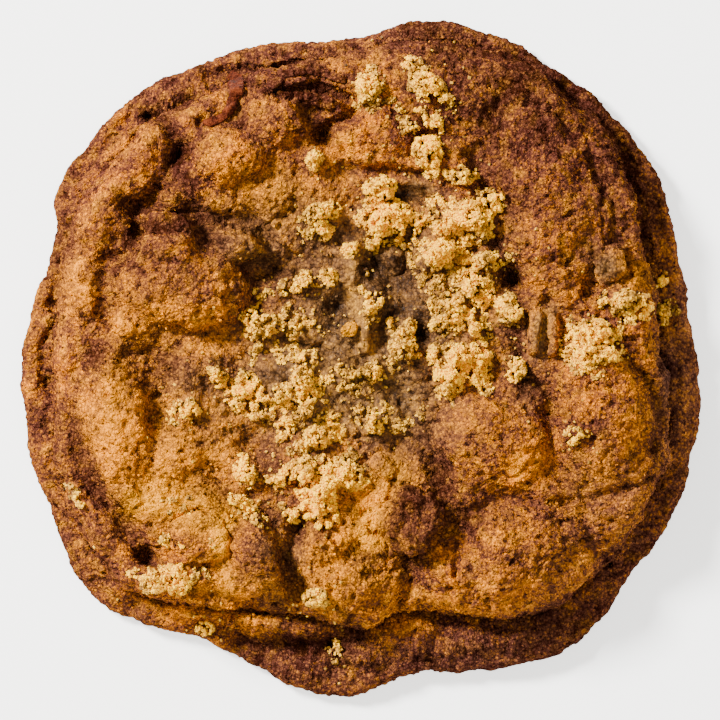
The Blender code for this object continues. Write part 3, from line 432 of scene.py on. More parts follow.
def tierEnds(angle):
    d = dough
    fx, fy = d["meanRadius"] * np.cos(angle), d["meanRadius"] * np.sin(angle)
    rim = around(d["rimRadii"], angle) + d["frayReach"] * noiseOf(fx, fy, d["fraySize"], 2.5)
    crown = around(d["crownRadii"], angle) + d["frayReach"] * noiseOf(fx, fy, d["fraySize"], 4.5)
    flatEnd = crown - d["lipRadius"]
    turn = d["lipTurn"] + (d["mergedLipTurn"] - d["lipTurn"]) * mergedShare(angle)
    return flatEnd, flatEnd + d["lipRadius"] * np.sin(turn), rim - d["edgeRadius"], turn


def wrapDough(s, angle):
    # s runs from the middle of the top (0) over the lip and the rim to the foot (1)
    d = dough
    flatEnd, groove, rimEnd, fullTurn = tierEnds(angle)
    top, lip, skirt = d["topShare"], d["lipShare"], d["skirtShare"]
    lipTurn = np.clip((s - top) / (lip - top), 0, 1) * fullTurn
    rimShare = np.clip((s - lip) / (skirt - lip), 0, 1)
    edgeTurn = np.clip((s - skirt) / (1 - skirt), 0, 1) * d["edgeTurn"]
    radius = np.where(s < top, flatEnd * s / top, flatEnd + d["lipRadius"] * np.sin(lipTurn))
    radius = np.where(s > lip, groove + (rimEnd - groove) * rimShare, radius)
    radius = np.where(s > skirt, rimEnd + d["edgeRadius"] * np.sin(edgeTurn), radius)
    x, y = radius * np.cos(angle), radius * np.sin(angle)
    crown = crownTop(x, y)
    over = d["lipHeight"] + (crown - d["lipHeight"]) * np.cos(lipTurn)
    grooveHeight = rimTop(x, y, np.zeros(len(s)))
    under = d["lipHeight"] + (d["lipHeight"] - grooveHeight) * np.cos(lipTurn) / abs(np.cos(fullTurn))
    z = np.where(s < top, crown, np.where(lipTurn < math.pi / 2, over, under))
    z = np.where(s > lip, rimTop(x, y, rimShare), z)
    edgeTop = rimTop(rimEnd * np.cos(angle), rimEnd * np.sin(angle), np.ones(len(s)))
    middle, half = (edgeTop - d["trimDepth"]) / 2, (edgeTop + d["trimDepth"]) / 2
    return x, y, np.where(s > skirt, middle + half * np.cos(edgeTurn), z)


crumb = {
    "knobSize": 4.2, "knobHeight": 0.75,  # uneven crust between the lumps
    "cragSize": 1.4, "cragHeight": 0.55,  # broken crust, seen as light and dark specks
    "cragOctaves": 3, "cragMean": 0.55,
    "craggy": [  # x, y, half length, half width, turn, how much more
        (28, 26, 14, 12, 0, 0.6), (38, -8, 16, 5, 95, 0.5), (10, -39, 26, 5, 3, 0.6),
        (-28, 22, 9, 5, 0, 0.4), (6, 42, 14, 4, 0, 0.5),
    ],
    "wrinkles": [  # fine wrinkles of the crust: points, half width, depth
        ([(30.4, 27), (32.2, 22), (32.6, 17), (33.4, 13)], 0.5, 0.7),
        ([(34.4, 29), (36.4, 24), (37, 19), (38.4, 13)], 0.5, 0.8),
        ([(38.4, 25), (40, 20), (41.2, 15)], 0.45, 0.7),
        ([(35, 16), (36.6, 12.6), (38.6, 10)], 0.5, 0.6),
        ([(20, 39), (25, 36.6), (29.6, 33.4)], 0.5, 0.6),
        ([(14, 31), (16.4, 29), (17.4, 26)], 0.6, 0.6), ([(22, 31), (26, 28.6), (29, 25)], 0.5, 0.45),
        ([(-8, 40.6), (-2, 40.2), (4, 39.6)], 0.5, 0.5),
        ([(-26, 36.4), (-22, 37.4), (-17.6, 38.6)], 0.5, 0.7),
        ([(-38, 25), (-34.4, 29.4), (-30, 33)], 0.4, 0.7),
        ([(8, 42.6), (13, 42.4), (18, 41)], 0.5, 0.6), ([(41.6, 6), (42.8, 0), (42.6, -6)], 0.5, 0.7),
        ([(-43.4, -2), (-43.2, -8), (-41.6, -14)], 0.5, 0.6),
        ([(-4, -41.6), (4, -41.4), (12, -40.4)], 0.6, 0.6),
        ([(16, -36.6), (24, -36), (30, -32.6)], 0.5, 0.6),
        ([(37, -24), (40, -19.6), (41.8, -14)], 0.5, 0.6),
    ],
    "bendReach": 0.9, "bendSize": 2.4,  # how far the wrinkles wander
    "crumbSize": 0.70, "crumbHeight": 0.24,
    "crackSize": 7.0, "crackDepth": 0.8, "crackWidth": 0.06, "crackBend": 1.5, "crackBendSize": 3,
    "crackedSize": 9, "crackedShare": 0.25,  # only some parts of the crust are cracked
    "pores": 3000, "poreRadius": (0.30, 0.75), "poreDepth": (0.30, 0.90),
    "calm": 0.6, "calmFrom": 0.93, "footHeights": (-0.2, 1.2),  # a smoother outline and foot
    "hollowReach": 7, "hollowDepth": 1.1,  # grid steps and millimetres, for shade in the folds
    "footLevel": (-0.9, 0.05),  # the underside's faces: how far they look down, and how near z = 0
    "footRings": (0.985, 0.9, 0.72, 0.45, 0.2),  # each ring of the underside against the last
    "seed": 5,
}


def boxBlur(grid, reach):
    for axis in (0, 1):
        padded = np.pad(grid, [(reach + 1, reach) if k == axis else (0, 0) for k in (0, 1)], "edge")
        total = np.cumsum(padded, axis=axis)
        width = 2 * reach + 1
        ahead = np.take(total, range(width, total.shape[axis]), axis)
        behind = np.take(total, range(total.shape[axis] - width), axis)
        grid = (ahead - behind) / width
    return grid


def makeDough():
    deselectAll()
    cells = dough["cells"]
    bpy.ops.mesh.primitive_grid_add(x_subdivisions=cells, y_subdivisions=cells, size=2)
    piece = startPiece("doughCrumb")
    flat = positions(piece) * mm  # the grid runs from -1 to 1
    a, b = flat[:, 0], flat[:, 1]
    s = np.maximum(abs(a), abs(b))
    safeA, safeB = np.where(a == 0, 1, a), np.where(b == 0, 1, b)
    side = math.pi / 4 * b / safeA + np.where(a < 0, math.pi, 0)
    end = math.pi / 2 - math.pi / 4 * a / safeB + np.where(b < 0, math.pi, 0)
    angle = np.where(abs(a) >= abs(b), side, end)
    x, y, z = wrapDough(s, angle)
    setPositions(piece, np.stack([x, y, z], axis=1))
    heights = z.reshape(cells + 1, cells + 1)
    smoothed = boxBlur(boxBlur(heights, crumb["hollowReach"]), crumb["hollowReach"])
    hollow = np.clip((smoothed - heights) / crumb["hollowDepth"], -1, 1).ravel()
    paint(piece, "hollow", hollow)
    print("dough wrapped over crown, lip and rim")
    return piece


def levelFoot(piece):
    # the foot is closed and cut level where the cookie lay on the tray
    pick(piece)
    bpy.ops.object.mode_set(mode="EDIT")
    bpy.ops.mesh.select_all(action="DESELECT")
    bpy.ops.mesh.select_mode(type="EDGE")
    bpy.ops.mesh.select_non_manifold()
    bpy.ops.mesh.edge_face_add()
    bpy.ops.mesh.select_all(action="SELECT")
    bpy.ops.mesh.bisect(plane_co=(0, 0, 0), plane_no=(0, 0, 1), use_fill=True, clear_inner=True)
    bpy.ops.mesh.select_all(action="SELECT")
    bpy.ops.mesh.normals_make_consistent(inside=False)
    bpy.ops.mesh.select_mode(type="FACE")
    bpy.ops.mesh.select_all(action="DESELECT")
    bpy.ops.object.mode_set(mode="OBJECT")
    facing, near = crumb["footLevel"]
    for face in piece.data.polygons:
        face.select = face.normal.z < facing and abs(face.center.z) < near * mm
    bpy.ops.object.mode_set(mode="EDIT")
    for share in crumb["footRings"]:
        bpy.ops.mesh.extrude_region()
        bpy.ops.transform.resize(value=(share, share, 1), center_override=(0, 0, 0))
    bpy.ops.mesh.poke()
    bpy.ops.object.mode_set(mode="OBJECT")


def toneAt(areas, x, y):
    total = np.zeros(len(x))
    for cx, cy, long, wide, turn, amount in areas:
        total += amount * np.exp(-ellipseReach(x, y, cx, cy, long, wide, turn))
    return total


def roughenDough(piece):
    c = crumb
    draw = random.Random(c["seed"])
    noise.seed_set(c["seed"])  # otherwise the clock seeds noise_vector, and no two runs are alike
    points = positions(piece)
    normals = np.empty(len(points) * 3, np.float32)
    piece.data.vertex_normals.foreach_get("vector", normals)
    normals = normals.reshape(-1, 3).astype(float)
    lift = np.zeros(len(points))
    x, y, z = points.T
    craggy = 1 + toneAt(c["craggy"], x, y)
    bentX, bentY = wander(x, y, c["bendReach"], c["bendSize"], 61.5)
    wrinkled = sum(depth * np.exp(-((distanceToPath(bentX, bentY, path) / width) ** 2))
                   for path, width, depth in c["wrinkles"])
    for i, point in enumerate(points):
        at = Vector(point)
        knob = noise.noise(at / c["knobSize"])
        crag = noise.turbulence(at / c["cragSize"], c["cragOctaves"], True) - c["cragMean"]
        bend = c["crackBend"] * noise.noise_vector(at / c["crackBendSize"])
        cracks = noise.voronoi((at + bend) / c["crackSize"])[0]
        gap = (cracks[1] - cracks[0]) / c["crackWidth"]
        cracked = max(0.0, 1 - gap) * max(0.0, noise.noise(at / c["crackedSize"]) + c["crackedShare"])
        lift[i] = c["knobHeight"] * knob + c["cragHeight"] * crag * craggy[i]
        lift[i] -= c["crackDepth"] * cracked
    lift -= wrinkled
    tree = KDTree(len(points))
    for i, point in enumerate(points):
        tree.insert(point, i)
    tree.balance()
    pore = np.zeros(len(points))
    for _ in range(c["pores"]):
        centre = points[draw.randrange(len(points))]
        radius = draw.uniform(*c["poreRadius"]) * draw.uniform(0.5, 1)
        depth = draw.uniform(*c["poreDepth"]) * radius / c["poreRadius"][1]
        for _, i, distance in tree.find_range(centre, radius):
            shape = 1 - (distance / radius) ** 2
            lift[i] -= depth * shape
            pore[i] = max(pore[i], shape)
    calm = 1 - c["calm"] * smoothStep(c["calmFrom"], 1.0, howFarOut(x, y, "rimRadii"))
    calm *= smoothStep(*c["footHeights"], z)
    setPositions(piece, points + normals * (lift * calm)[:, None])
    paint(piece, "pore", pore)
    print("crags, cracks and pores pressed into the crust")

    grain = bpy.data.textures.new("crumb grain", "CLOUDS")
    grain.noise_scale = c["crumbSize"] * mm
    grain.noise_depth = 2
    applyModifier(piece, "DISPLACE", {
        "texture": grain, "texture_coords": "LOCAL", "strength": 2 * c["crumbHeight"] * mm,
        "mid_level": 0.5,
    })


# how the crust is browned, with painted shade and highlights, in areas: x, y, half length, half width,
# turn, amount

tone = {
    "base": 0.37,
    "edgeDark": 0.13, "edgeFrom": (0.95, 1.06),  # the rim against the crown
    "foldShadeAndSyrup": 0.12, "poreShade": 0.16,  # painted shade in the folds and pores, with syrup browned in the folds too
    "sugarShadeAndMelt": 0.10,  # painted shade under and between the sugar heaps, and where the sugar melts into the dough
    "footDark": 0.15, "footHeights": (0.6, 0.0),  # the underside browned on the tray
    "dampHeights": (4, 7),  # only the top is damp
    "wanderReach": 2.0, "wanderSize": 4.0,  # how unevenly each area ends
    # darker crust where it baked browner, and painted shade in the gorges, the hollows and pits of the
    # middle, and on the east rim
    "brownAndShade": [
        (25, 33, 14, 7, -40, 0.26), (37, 21, 13, 4, 105, 0.17), (10, 43, 12, 4, -5, 0.19),
        (0, 8, 9, 8, 0, 0.12), (33, 32, 6, 2.6, -50, 0.15), (-7, 35.8, 4.6, 2.2, 0, 0.26),
        (2.6, -26.2, 2.4, 1.8, 0, 0.22), (-25, 17.2, 2.4, 1.5, 0, 0.32), (-27, 12, 4, 3, 30, 0.06),
        (-14, 38, 9, 3, 8, 0.14), (-35, -17, 7, 4, 110, 0.28), (-33, -26, 9, 5, -45, 0.15),
        (7, -20, 4.5, 4.5, 0, 0.26), (39, -10, 9, 3, 100, 0.13), (36, -26, 8, 3, 60, 0.14),
        (10, -39, 24, 4.5, 3, 0.13), (-10, -39.6, 10, 3.6, 3, 0.12), (-28, 21, 4, 2, 0, 0.08),
        # painted shade in the hollows and pits of the middle, on this line and the next two
        (4.4, 11.6, 3.2, 3, 0, 0.4), (-3, 6, 2.2, 3.4, 0, 0.22), (-11.5, 12.4, 3.4, 1.6, -10, 0.06),
        (8.2, 3, 1.4, 2.8, 0, 0.25), (6.8, 21.5, 2.6, 1.1, 0, 0.28), (20.4, 11, 1.6, 2.2, 0, 0.3),
        (6.4, 6.6, 3, 1.4, 0, 0.2), (5.4, -5, 2.6, 2.4, 0, 0.16), (-8, 7.6, 3, 1.4, 0, 0.12),
        (9, -11, 4, 2.6, -40, 0.12), (11, -16, 2.4, 5, 20, 0.14), (20, 24, 6, 11, 0, 0.08),
        # (-24.3, 27.5) and (-30, 16.4): painted shade along the north-west and west gorges
        (-24.3, 27.5, 2.2, 8.5, 4, 0.44), (-30, 16.4, 3.6, 2, -42, 0.2),
        (-27.4, 31.4, 2.6, 1.8, 20, 0.18), (-14, 30.6, 3.4, 2.4, 0, 0.18),
        (20, 38.4, 4, 2, -20, 0.12), (-32, 14, 2, 3, 0, 0.14), (-36, 18, 2, 2.4, 0, 0.1),
        (-18.4, -22.6, 2.4, 1.4, 0, 0.16), (21, -4, 1.8, 2.4, 0, 0.16),
        (24.6, -2.4, 2, 2.4, 0, 0.16), (15.4, -21.6, 2.6, 2, -10, 0.2),
        (-12.4, 8.6, 2.4, 2, 0, 0.14), (20.4, 2, 1.8, 2.4, 0, 0.28), (22.6, 6.4, 2.6, 1.8, 0, 0.24),
        (22, -4, 3.4, 3, 0, 0.14), (-28, 18.4, 2.2, 1.8, 0, 0.3), (-20, 14.8, 2.2, 1.5, 0, 0.14),
        (28.4, -14, 1.6, 3.2, 0, 0.26), (31.8, -10, 1.8, 1.8, 0, 0.16),
        (16.8, 22.6, 1.2, 2.6, 0, 0.2), (8, -2, 1.8, 2, 0, 0.22), (8, 6.2, 1.6, 1.8, 0, 0.26),
        (0, -26.4, 1.6, 1.5, 0, 0.34), (-16, -22.6, 2, 1.5, 0, 0.18),
        (7.4, 30.2, 5.6, 1.8, 0, 0.28), (-12, -2, 2.2, 1.6, -20, 0.24),
        (-12, -13.8, 2, 1.6, 0, 0.24), (28.2, -10.4, 1.8, 1.8, 0, 0.26),
        # (-24, 22.4): painted shade in the gorge; (42.2, -1.4) and (42.4, 6.6): painted shade between
        # the east rim's painted highlights
        (20, 26, 2.4, 2.4, 0, 0.16), (-24, 22.4, 2.2, 2, 0, 0.16), (42.2, -1.4, 0.8, 1.6, 0, 0.16),
        (42.4, 6.6, 0.7, 1.8, 0, 0.14), (-32.4, -0.8, 4.4, 2.4, 0, 0.28),
        (-22, -2, 4, 2.6, 0, 0.26), (-19.4, -19, 2.4, 3, 0, 0.5), (-36, -0.6, 2.2, 3, 0, 0.12),
        (4, -10.4, 2.6, 1.8, 0, 0.16), (24, 18.4, 2.6, 2, 0, 0.12), (-36, 2, 3, 3, 0, 0.1),
        (44, 4, 4, 18, 0, -0.03), (26, -37, 12, 4, 30, 0.2), (-11.4, -26.6, 2.6, 5.4, 0, 0.26),
        (4.4, 12.8, 2.6, 2.2, 0, 0.06), (32.8, 13.4, 2.4, 3, 0, 0.27),
        (-16.3, 36, 1.8, 1.5, 0, 0.12), (-10, -38.4, 6, 1.2, 0, 0.12), (-6, -17, 2.4, 2, 0, -0.04),
        (10, 34, 8, 5, 0, 0.14), (20, -30, 12, 5, 0, 0.06), (-19, 11.4, 6, 4, 0, 0.13),
        (-5, 33, 3, 3, 0, 0.16),
    ],
    # lighter golden crust, and painted highlights on the east rim's facets
    "golden": [
        (-18, 25, 6, 5, 20, 0.1), (-33, -7, 12, 4, 97, 0.2), (-23, -13, 8, 7, 0, 0.14),
        (-3, -27, 6, 5, 0, 0.06), (-29, 6, 4, 3.6, 0, 0.12), (-0.4, 8, 1.1, 6, 0, 0.22),
        (-17.7, -25.6, 2, 5, 6, 0.5), (-23, -20, 4, 2.2, 0, 0.4), (24.4, -14, 2.4, 2.2, 0, 0.2),
        (36.4, -11.4, 1.8, 2.8, 0, 0.14), (20, -30.4, 2.6, 2, 0, 0.16),
        (-16.2, -38.2, 2, 1.3, 0, 0.26), (-16, -34.2, 3, 1.3, 0, 0.16),
        (12, -34.4, 3, 1.6, 0, 0.12), (36.2, 10.4, 1.8, 1.8, 0, 0.2), (28, 9.6, 1.8, 2, 0, 0.16),
        (-3.4, 26, 1.8, 1.8, 0, 0.2), (-32, -14, 2.4, 3.2, 0, 0.2), (12, -26.4, 2, 2, 0, 0.18),
        (16, -30, 2.6, 2, 0, 0.18), (-17.6, 2, 3, 6, 0, 0.12), (-24, 13.6, 2.6, 1.8, 0, 0.14),
        # (43.2, 2.6), (43, -5.6), (42, 10.6) and (41.2, -12.4): painted highlights on the east rim's
        # facets
        (43.2, 2.6, 0.8, 1.8, 0, 0.26), (43, -5.6, 0.8, 2.4, 0, 0.26),
        (42, 10.6, 0.8, 1.6, 0, 0.26), (41.2, -12.4, 0.8, 2, 0, 0.22), (18, -34, 4, 1.4, 0, 0.12),
        (-20, 4.2, 3.2, 3.4, 0, 0.16), (-18, -35.6, 7, 1.6, -12, 0.16), (24, -33.6, 8, 2, 14, 0.16),
        (3.6, -38.4, 4, 2, 0, 0.2), (0.4, -18, 2.4, 2.2, 0, 0.48), (20, -14, 5, 2, 0, 0.16),
        (-22, -31, 5, 1.6, -20, 0.14), (-26, -34, 4, 2, -35, 0.18), (-17.4, -39.6, 3, 1.4, 0, 0.2),
        (-22, 3, 4, 3.4, 0, 0.1), (22.6, -14, 3.4, 2.6, 0, 0.24), (1, 27, 6.4, 2.6, 0, 0.14),
        (2, 33, 4, 3, 0, 0.2), (40.6, 16, 1.4, 5, 10, 0.14), (-42.6, 2, 1.4, 9, 0, 0.05),
        (41, 8, 1.4, 4, 0, 0.1), (6, -35.4, 3.4, 1.5, 0, 0.26), (-14, -34.8, 8, 1.2, -8, 0.1),
        (23.2, 3, 0.8, 2.6, 0, 0.14), (-6, -27, 2.6, 3, 0, 0.08), (-28, -19, 9, 3, 0, 0.1),
        (32, -6, 6, 8, 0, 0.09), (1.6, -22.6, 2.4, 4, 0, 0.34), (5, -15.6, 1.6, 1.4, 0, 0.14),
    ],
    "yellow": [  # where butter and fruit show through
        (-23, -20, 7, 3.4, -10, 1), (-17.6, -25.5, 1.6, 5, 0, 0.9), (-30.5, -20, 3, 2.5, 0, 0.7),
        (-9, 21, 8, 4, 0, 0.45), (-33, -6, 3, 8, 0, 0.45), (-0.4, 8, 1, 6, 0, 0.8),
        (1, -22, 3.4, 4.5, 0, 0.9), (37, 11, 3, 3, 0, 0.5), (-4, -29, 6, 5, 0, 0.4),
        (-28, 6, 5, 6, 0, 0.25), (-14, -31, 7, 2, 0, 0.35), (4, -15.5, 4, 2, 0, 0.8),
        (-38, 10, 3, 6, 0, 0.25), (-26, -7, 4, 6, 0, 0.35), (30, -17, 4, 3, 0, 0.35),
        (-20, -13, 7, 5, 0, 0.3),
    ],
    "dull": [  # dull purplish brown, where the thin edge dried out
        (42.8, 0, 3.0, 17, 0, 1.0), (35, -20, 9, 6, 60, 0.45), (24, -33, 12, 5, 35, 0.35),
        (8, -40, 26, 3, 2, 0.45), (-8, 43, 26, 4, 0, 0.25),
    ],
    "damp": [  # wet with syrup and melted sugar
        (25.2, 3, 2.3, 3.8, 0, 1), (33, 12, 2, 3, 20, 0.4), (42.6, 0, 2.4, 14, 0, 0.25),
        (0, 6, 13, 11, 0, 1), (-10, -5, 10, 8, 0, 0.8), (4, -8, 7, 6, 0, 0.9),
        (4, 17, 12, 5, 0, 0.6), (-15, 14, 5, 2.2, -12, 0.6), (7, 22, 4, 1.6, 0, 0.9),
        (33, 12, 2.4, 3.4, 0, 0.6), (13, 5, 7, 8, 0, 0.45), (-10, -26, 3, 6, 0, 0.5),
        (-14, 18, 6, 3, 0, 0.4), (22, -3, 2, 4, 0, 0.4), (-22, -4, 5, 3, 0, 0.35),
    ],
}


def paintCrust(piece, points, hollow, pore):
    t = tone
    x, y = wander(points[:, 0], points[:, 1], t["wanderReach"], t["wanderSize"], 21.5)
    z = points[:, 2]
    # how brown the crust baked, with painted shade in folds, pores, gorges and under the sugar, and
    # painted highlights on the east rim
    bakeAndPaintedLight = t["base"] + toneAt(t["brownAndShade"], x, y) - toneAt(t["golden"], x, y)
    bakeAndPaintedLight += t["edgeDark"] * smoothStep(*t["edgeFrom"], howFarOut(x, y, "crownRadii"))
    # painted shade in the folds and pores, partly syrup browned in the folds
    bakeAndPaintedLight += t["foldShadeAndSyrup"] * hollow + t["poreShade"] * pore
    # painted shade under and between the sugar heaps, with dough darkened where the sugar melts
    bakeAndPaintedLight += t["sugarShadeAndMelt"] * sugarCover(points[:, 0], points[:, 1])
    bakeAndPaintedLight += t["footDark"] * smoothStep(*t["footHeights"], z)
    paint(piece, "bakeAndPaintedLight", np.clip(bakeAndPaintedLight, 0, 1))
    for name in ("yellow", "dull"):
        paint(piece, name, np.clip(toneAt(t[name], x, y), 0, 1))
    paint(piece, "damp", np.clip(toneAt(t["damp"], x, y), 0, 1) * smoothStep(*t["dampHeights"], z))


def attributeOf(piece, name):
    values = np.empty(len(piece.data.vertices), np.float32)
    piece.data.attributes[name].data.foreach_get("value", values)
    return values


crust = {
    "ramp": [(0.0, "#E78701"), (0.2, "#B16505"), (0.42, "#7B471F"), (0.62, "#542F1F"),
             (0.82, "#3E1E11"), (1.0, "#2D1207")],
    "rosyRamp": [(0.0, "#E78301"), (0.2, "#B06108"), (0.42, "#794323"), (0.62, "#522C22"),
                 (0.82, "#3C1B12"), (1.0, "#2B1108")],
    "yellowRamp": [(0.0, "#E79601"), (0.42, "#AB6C03"), (0.7, "#6A4011"), (1.0, "#2E1605")],
    "dampRamp": [(0.0, "#AA782A"), (0.4, "#6D4C26"), (0.7, "#422C16"), (1.0, "#1D1106")],
    "dullRamp": [(0.0, "#C07832"), (0.42, "#76472E"), (0.62, "#523026"), (0.82, "#3C1E17"),
                 (1.0, "#2C120B")],
    # each pattern: its size, its noise detail, how much it changes the tone, and its relief
    "patchMm": 5.0, "patchDetail": 3, "patchMix": 0.7,
    "clodMm": 2.4, "clodDetail": 3, "clodMix": 0.6,
    "crumbMm": 1.1, "crumbDetail": 4, "crumbMix": 0.5, "crumbBumpMm": 0.90,
    "speckMm": 0.37, "speckDetail": 2, "speckMix": 0.85, "speckBumpMm": 0.26, "dampSpecks": 0.3,
    # grainGapShade: painted shade in the gaps between the grains
    "grainMm": 0.38, "grainMix": 0.32, "grainGapShade": 0.42, "grainBumpMm": 0.26,
    "noiseRoughness": 0.65,
    "rosyMm": 7.0, "rosyRange": (0.38, 0.62),  # red-brown patches
    "fleckMm": 2.0, "fleckRange": (0.50, 0.68), "fleckMost": 0.45,  # golden flecks
    "calmMm": 6.0, "calmRange": (0.35, 0.65), "crumbly": (0.45, 1.25),  # smooth and crumbly places
    "bendMm": 1.4,  # pits are bent by this much out of round
    "pits": [(1.1, 0.34, 0.28, 0.30), (2.6, 0.24, 0.38, 0.50)],  # cell in mm, radius, painted shade inside, depth
    "pitEdge": (0.2, 1.1),  # a pit's wall, as shares of its radius
    "dampMost": 0.9,
    # from dry to damp
    "relief": (0.95, 0.35), "roughness": (0.85, 0.42), "sheen": (0.0, 0.05),
}


def span(*ends):
    # settings of a Map Range node: from low and high, then to low and high
    return dict(zip(("From Min", "From Max", "To Min", "To Max"), ends))


def makePits(tree, place, size, reach):
    # small burst bubbles: 1 inside, 0 outside
    cells = addNode(tree, "ShaderNodeTexVoronoi", {"Scale": perMm(size)}, {"Vector": (place, 0)})
    chance = addNode(tree, "ShaderNodeSeparateColor", None, {0: (cells, "Color")})
    radius = addNode(tree, "ShaderNodeMath", {"operation": "MULTIPLY", 1: reach}, {0: (chance, 0)})
    share = addNode(tree, "ShaderNodeMath", {"operation": "DIVIDE"},
                    {0: (cells, "Distance"), 1: (radius, 0)})
    return addNode(tree, "ShaderNodeMapRange", {
        "interpolation_type": "SMOOTHSTEP", **span(*crust["pitEdge"], 1, 0),
    }, {"Value": (share, 0)})


def makeCrustMaterial():
    # butter and flour crust, browned in the oven: matt, rough with fine crumb and burst bubbles,
    # golden on the lumps, dark brown at the rim, and smoother, damp and olive in the middle
    c = crust
    material, tree = newMaterial("bakedDoughCrust")
    spot = addNode(tree, "ShaderNodeTexCoord")
    # the bake attribute carries painted shade and painted highlights along with the browning
    bakeAndPaintedLight, yellow, dull, damp = (addNode(tree, "ShaderNodeAttribute", {"attribute_name": name})
                                for name in ("bakeAndPaintedLight", "yellow", "dull", "damp"))
    patches, clods, crumbs, specks = (
        addNode(tree, "ShaderNodeTexNoise", {
            "Scale": perMm(c[kind + "Mm"]), "Detail": c[kind + "Detail"],
            "Roughness": c["noiseRoughness"],
        }, {"Vector": (spot, "Object")})
        for kind in ("patch", "clod", "crumb", "speck")
    )
    grains = addNode(tree, "ShaderNodeTexVoronoi", {"Scale": perMm(c["grainMm"])},
                     {"Vector": (spot, "Object")})
    grainTone = addNode(tree, "ShaderNodeSeparateColor", None, {0: (grains, "Color")})
    bend = addNode(tree, "ShaderNodeVectorMath", {"operation": "SCALE", "Scale": c["bendMm"] * mm},
                   {0: (specks, "Color")})
    bent = addNode(tree, "ShaderNodeVectorMath", {"operation": "ADD"},
                   {0: (bend, 0), 1: (spot, "Object")})
    pits = [makePits(tree, bent, size, reach) for size, reach, _, _ in c["pits"]]
    calm = addNode(tree, "ShaderNodeTexNoise", {"Scale": perMm(c["calmMm"]), "Detail": 2},
                   {"Vector": (spot, "Object")})
    crumbly = addNode(tree, "ShaderNodeMapRange", span(*c["calmRange"], *c["crumbly"]),
                      {"Value": (calm, 0)})
    dry = addNode(tree, "ShaderNodeMapRange", span(0, 1, 1, c["dampSpecks"]), {"Value": (damp, "Fac")})
    speckled = addNode(tree, "ShaderNodeMath", {"operation": "SUBTRACT", 1: 0.5}, {0: (specks, 0)})
    for share in (crumbly, dry):
        speckled = addNode(tree, "ShaderNodeMath", {"operation": "MULTIPLY"},
                           {0: (speckled, 0), 1: (share, 0)})

    # how brown: the painted tone, broken up by patches, clods, crumbs, specks and single grains, with
    # painted shade in the gaps between grains and in the pits
    # less what they add on average: 0.5 for a pattern, 0.4 for the painted shade in the gaps between
    # the grains
    mean = 0.5 * (c["patchMix"] + c["clodMix"] + c["crumbMix"] + c["grainMix"]) + 0.4 * c["grainGapShade"]
    total = addNode(tree, "ShaderNodeMath", {"operation": "SUBTRACT", 1: mean}, {0: (bakeAndPaintedLight, "Fac")})
    for source, socket, weight in (
        (patches, 0, c["patchMix"]), (clods, 0, c["clodMix"]), (crumbs, 0, c["crumbMix"]),
        (speckled, 0, c["speckMix"]), (grainTone, 0, c["grainMix"]),
        (grains, "Distance", c["grainGapShade"]),
        (pits[0], 0, c["pits"][0][2]), (pits[1], 0, c["pits"][1][2]),
    ):
        total = addNode(tree, "ShaderNodeMath", {"operation": "MULTIPLY_ADD", 1: weight},
                        {0: (source, socket), 2: (total, 0)})
    plain, rosy, golden, faint, wet = (
        addNode(tree, "ShaderNodeValToRGB", None, {0: (total, 0)}) for _ in range(5))
    for node, ramp in zip((plain, rosy, golden, faint, wet),
                          ("ramp", "rosyRamp", "yellowRamp", "dullRamp", "dampRamp")):
        setRamp(node, c[ramp])
    hue = addNode(tree, "ShaderNodeTexNoise", {"Scale": perMm(c["rosyMm"]), "Detail": 3},
                  {"Vector": (spot, "Object")})
    hueMix = addNode(tree, "ShaderNodeMapRange", span(*c["rosyRange"]), {"Value": (hue, 0)})
    brownAndShade = addNode(tree, "ShaderNodeMix", {"data_type": "RGBA"},
                      {0: (hueMix, 0), 6: (plain, 0), 7: (rosy, 0)})
    flecks = addNode(tree, "ShaderNodeTexNoise", {"Scale": perMm(c["fleckMm"]), "Detail": 3},
                     {"Vector": (spot, "Object")})
    fleckMix = addNode(tree, "ShaderNodeMapRange", span(*c["fleckRange"], 0, c["fleckMost"]),
                       {"Value": (flecks, 0)})
    yellowMix = addNode(tree, "ShaderNodeMath", {"operation": "MAXIMUM"},
                        {0: (yellow, "Fac"), 1: (fleckMix, 0)})
    fruity = addNode(tree, "ShaderNodeMix", {"data_type": "RGBA"},
                     {0: (yellowMix, 0), 6: (brownAndShade, 2), 7: (golden, 0)})
    faded = addNode(tree, "ShaderNodeMix", {"data_type": "RGBA"},
                    {0: (dull, "Fac"), 6: (fruity, 2), 7: (faint, 0)})
    dampMix = addNode(tree, "ShaderNodeMath", {"operation": "MULTIPLY", 1: c["dampMost"]},
                      {0: (damp, "Fac")})
    colour = addNode(tree, "ShaderNodeMix", {"data_type": "RGBA"},
                     {0: (dampMix, 0), 6: (faded, 2), 7: (wet, 0)})

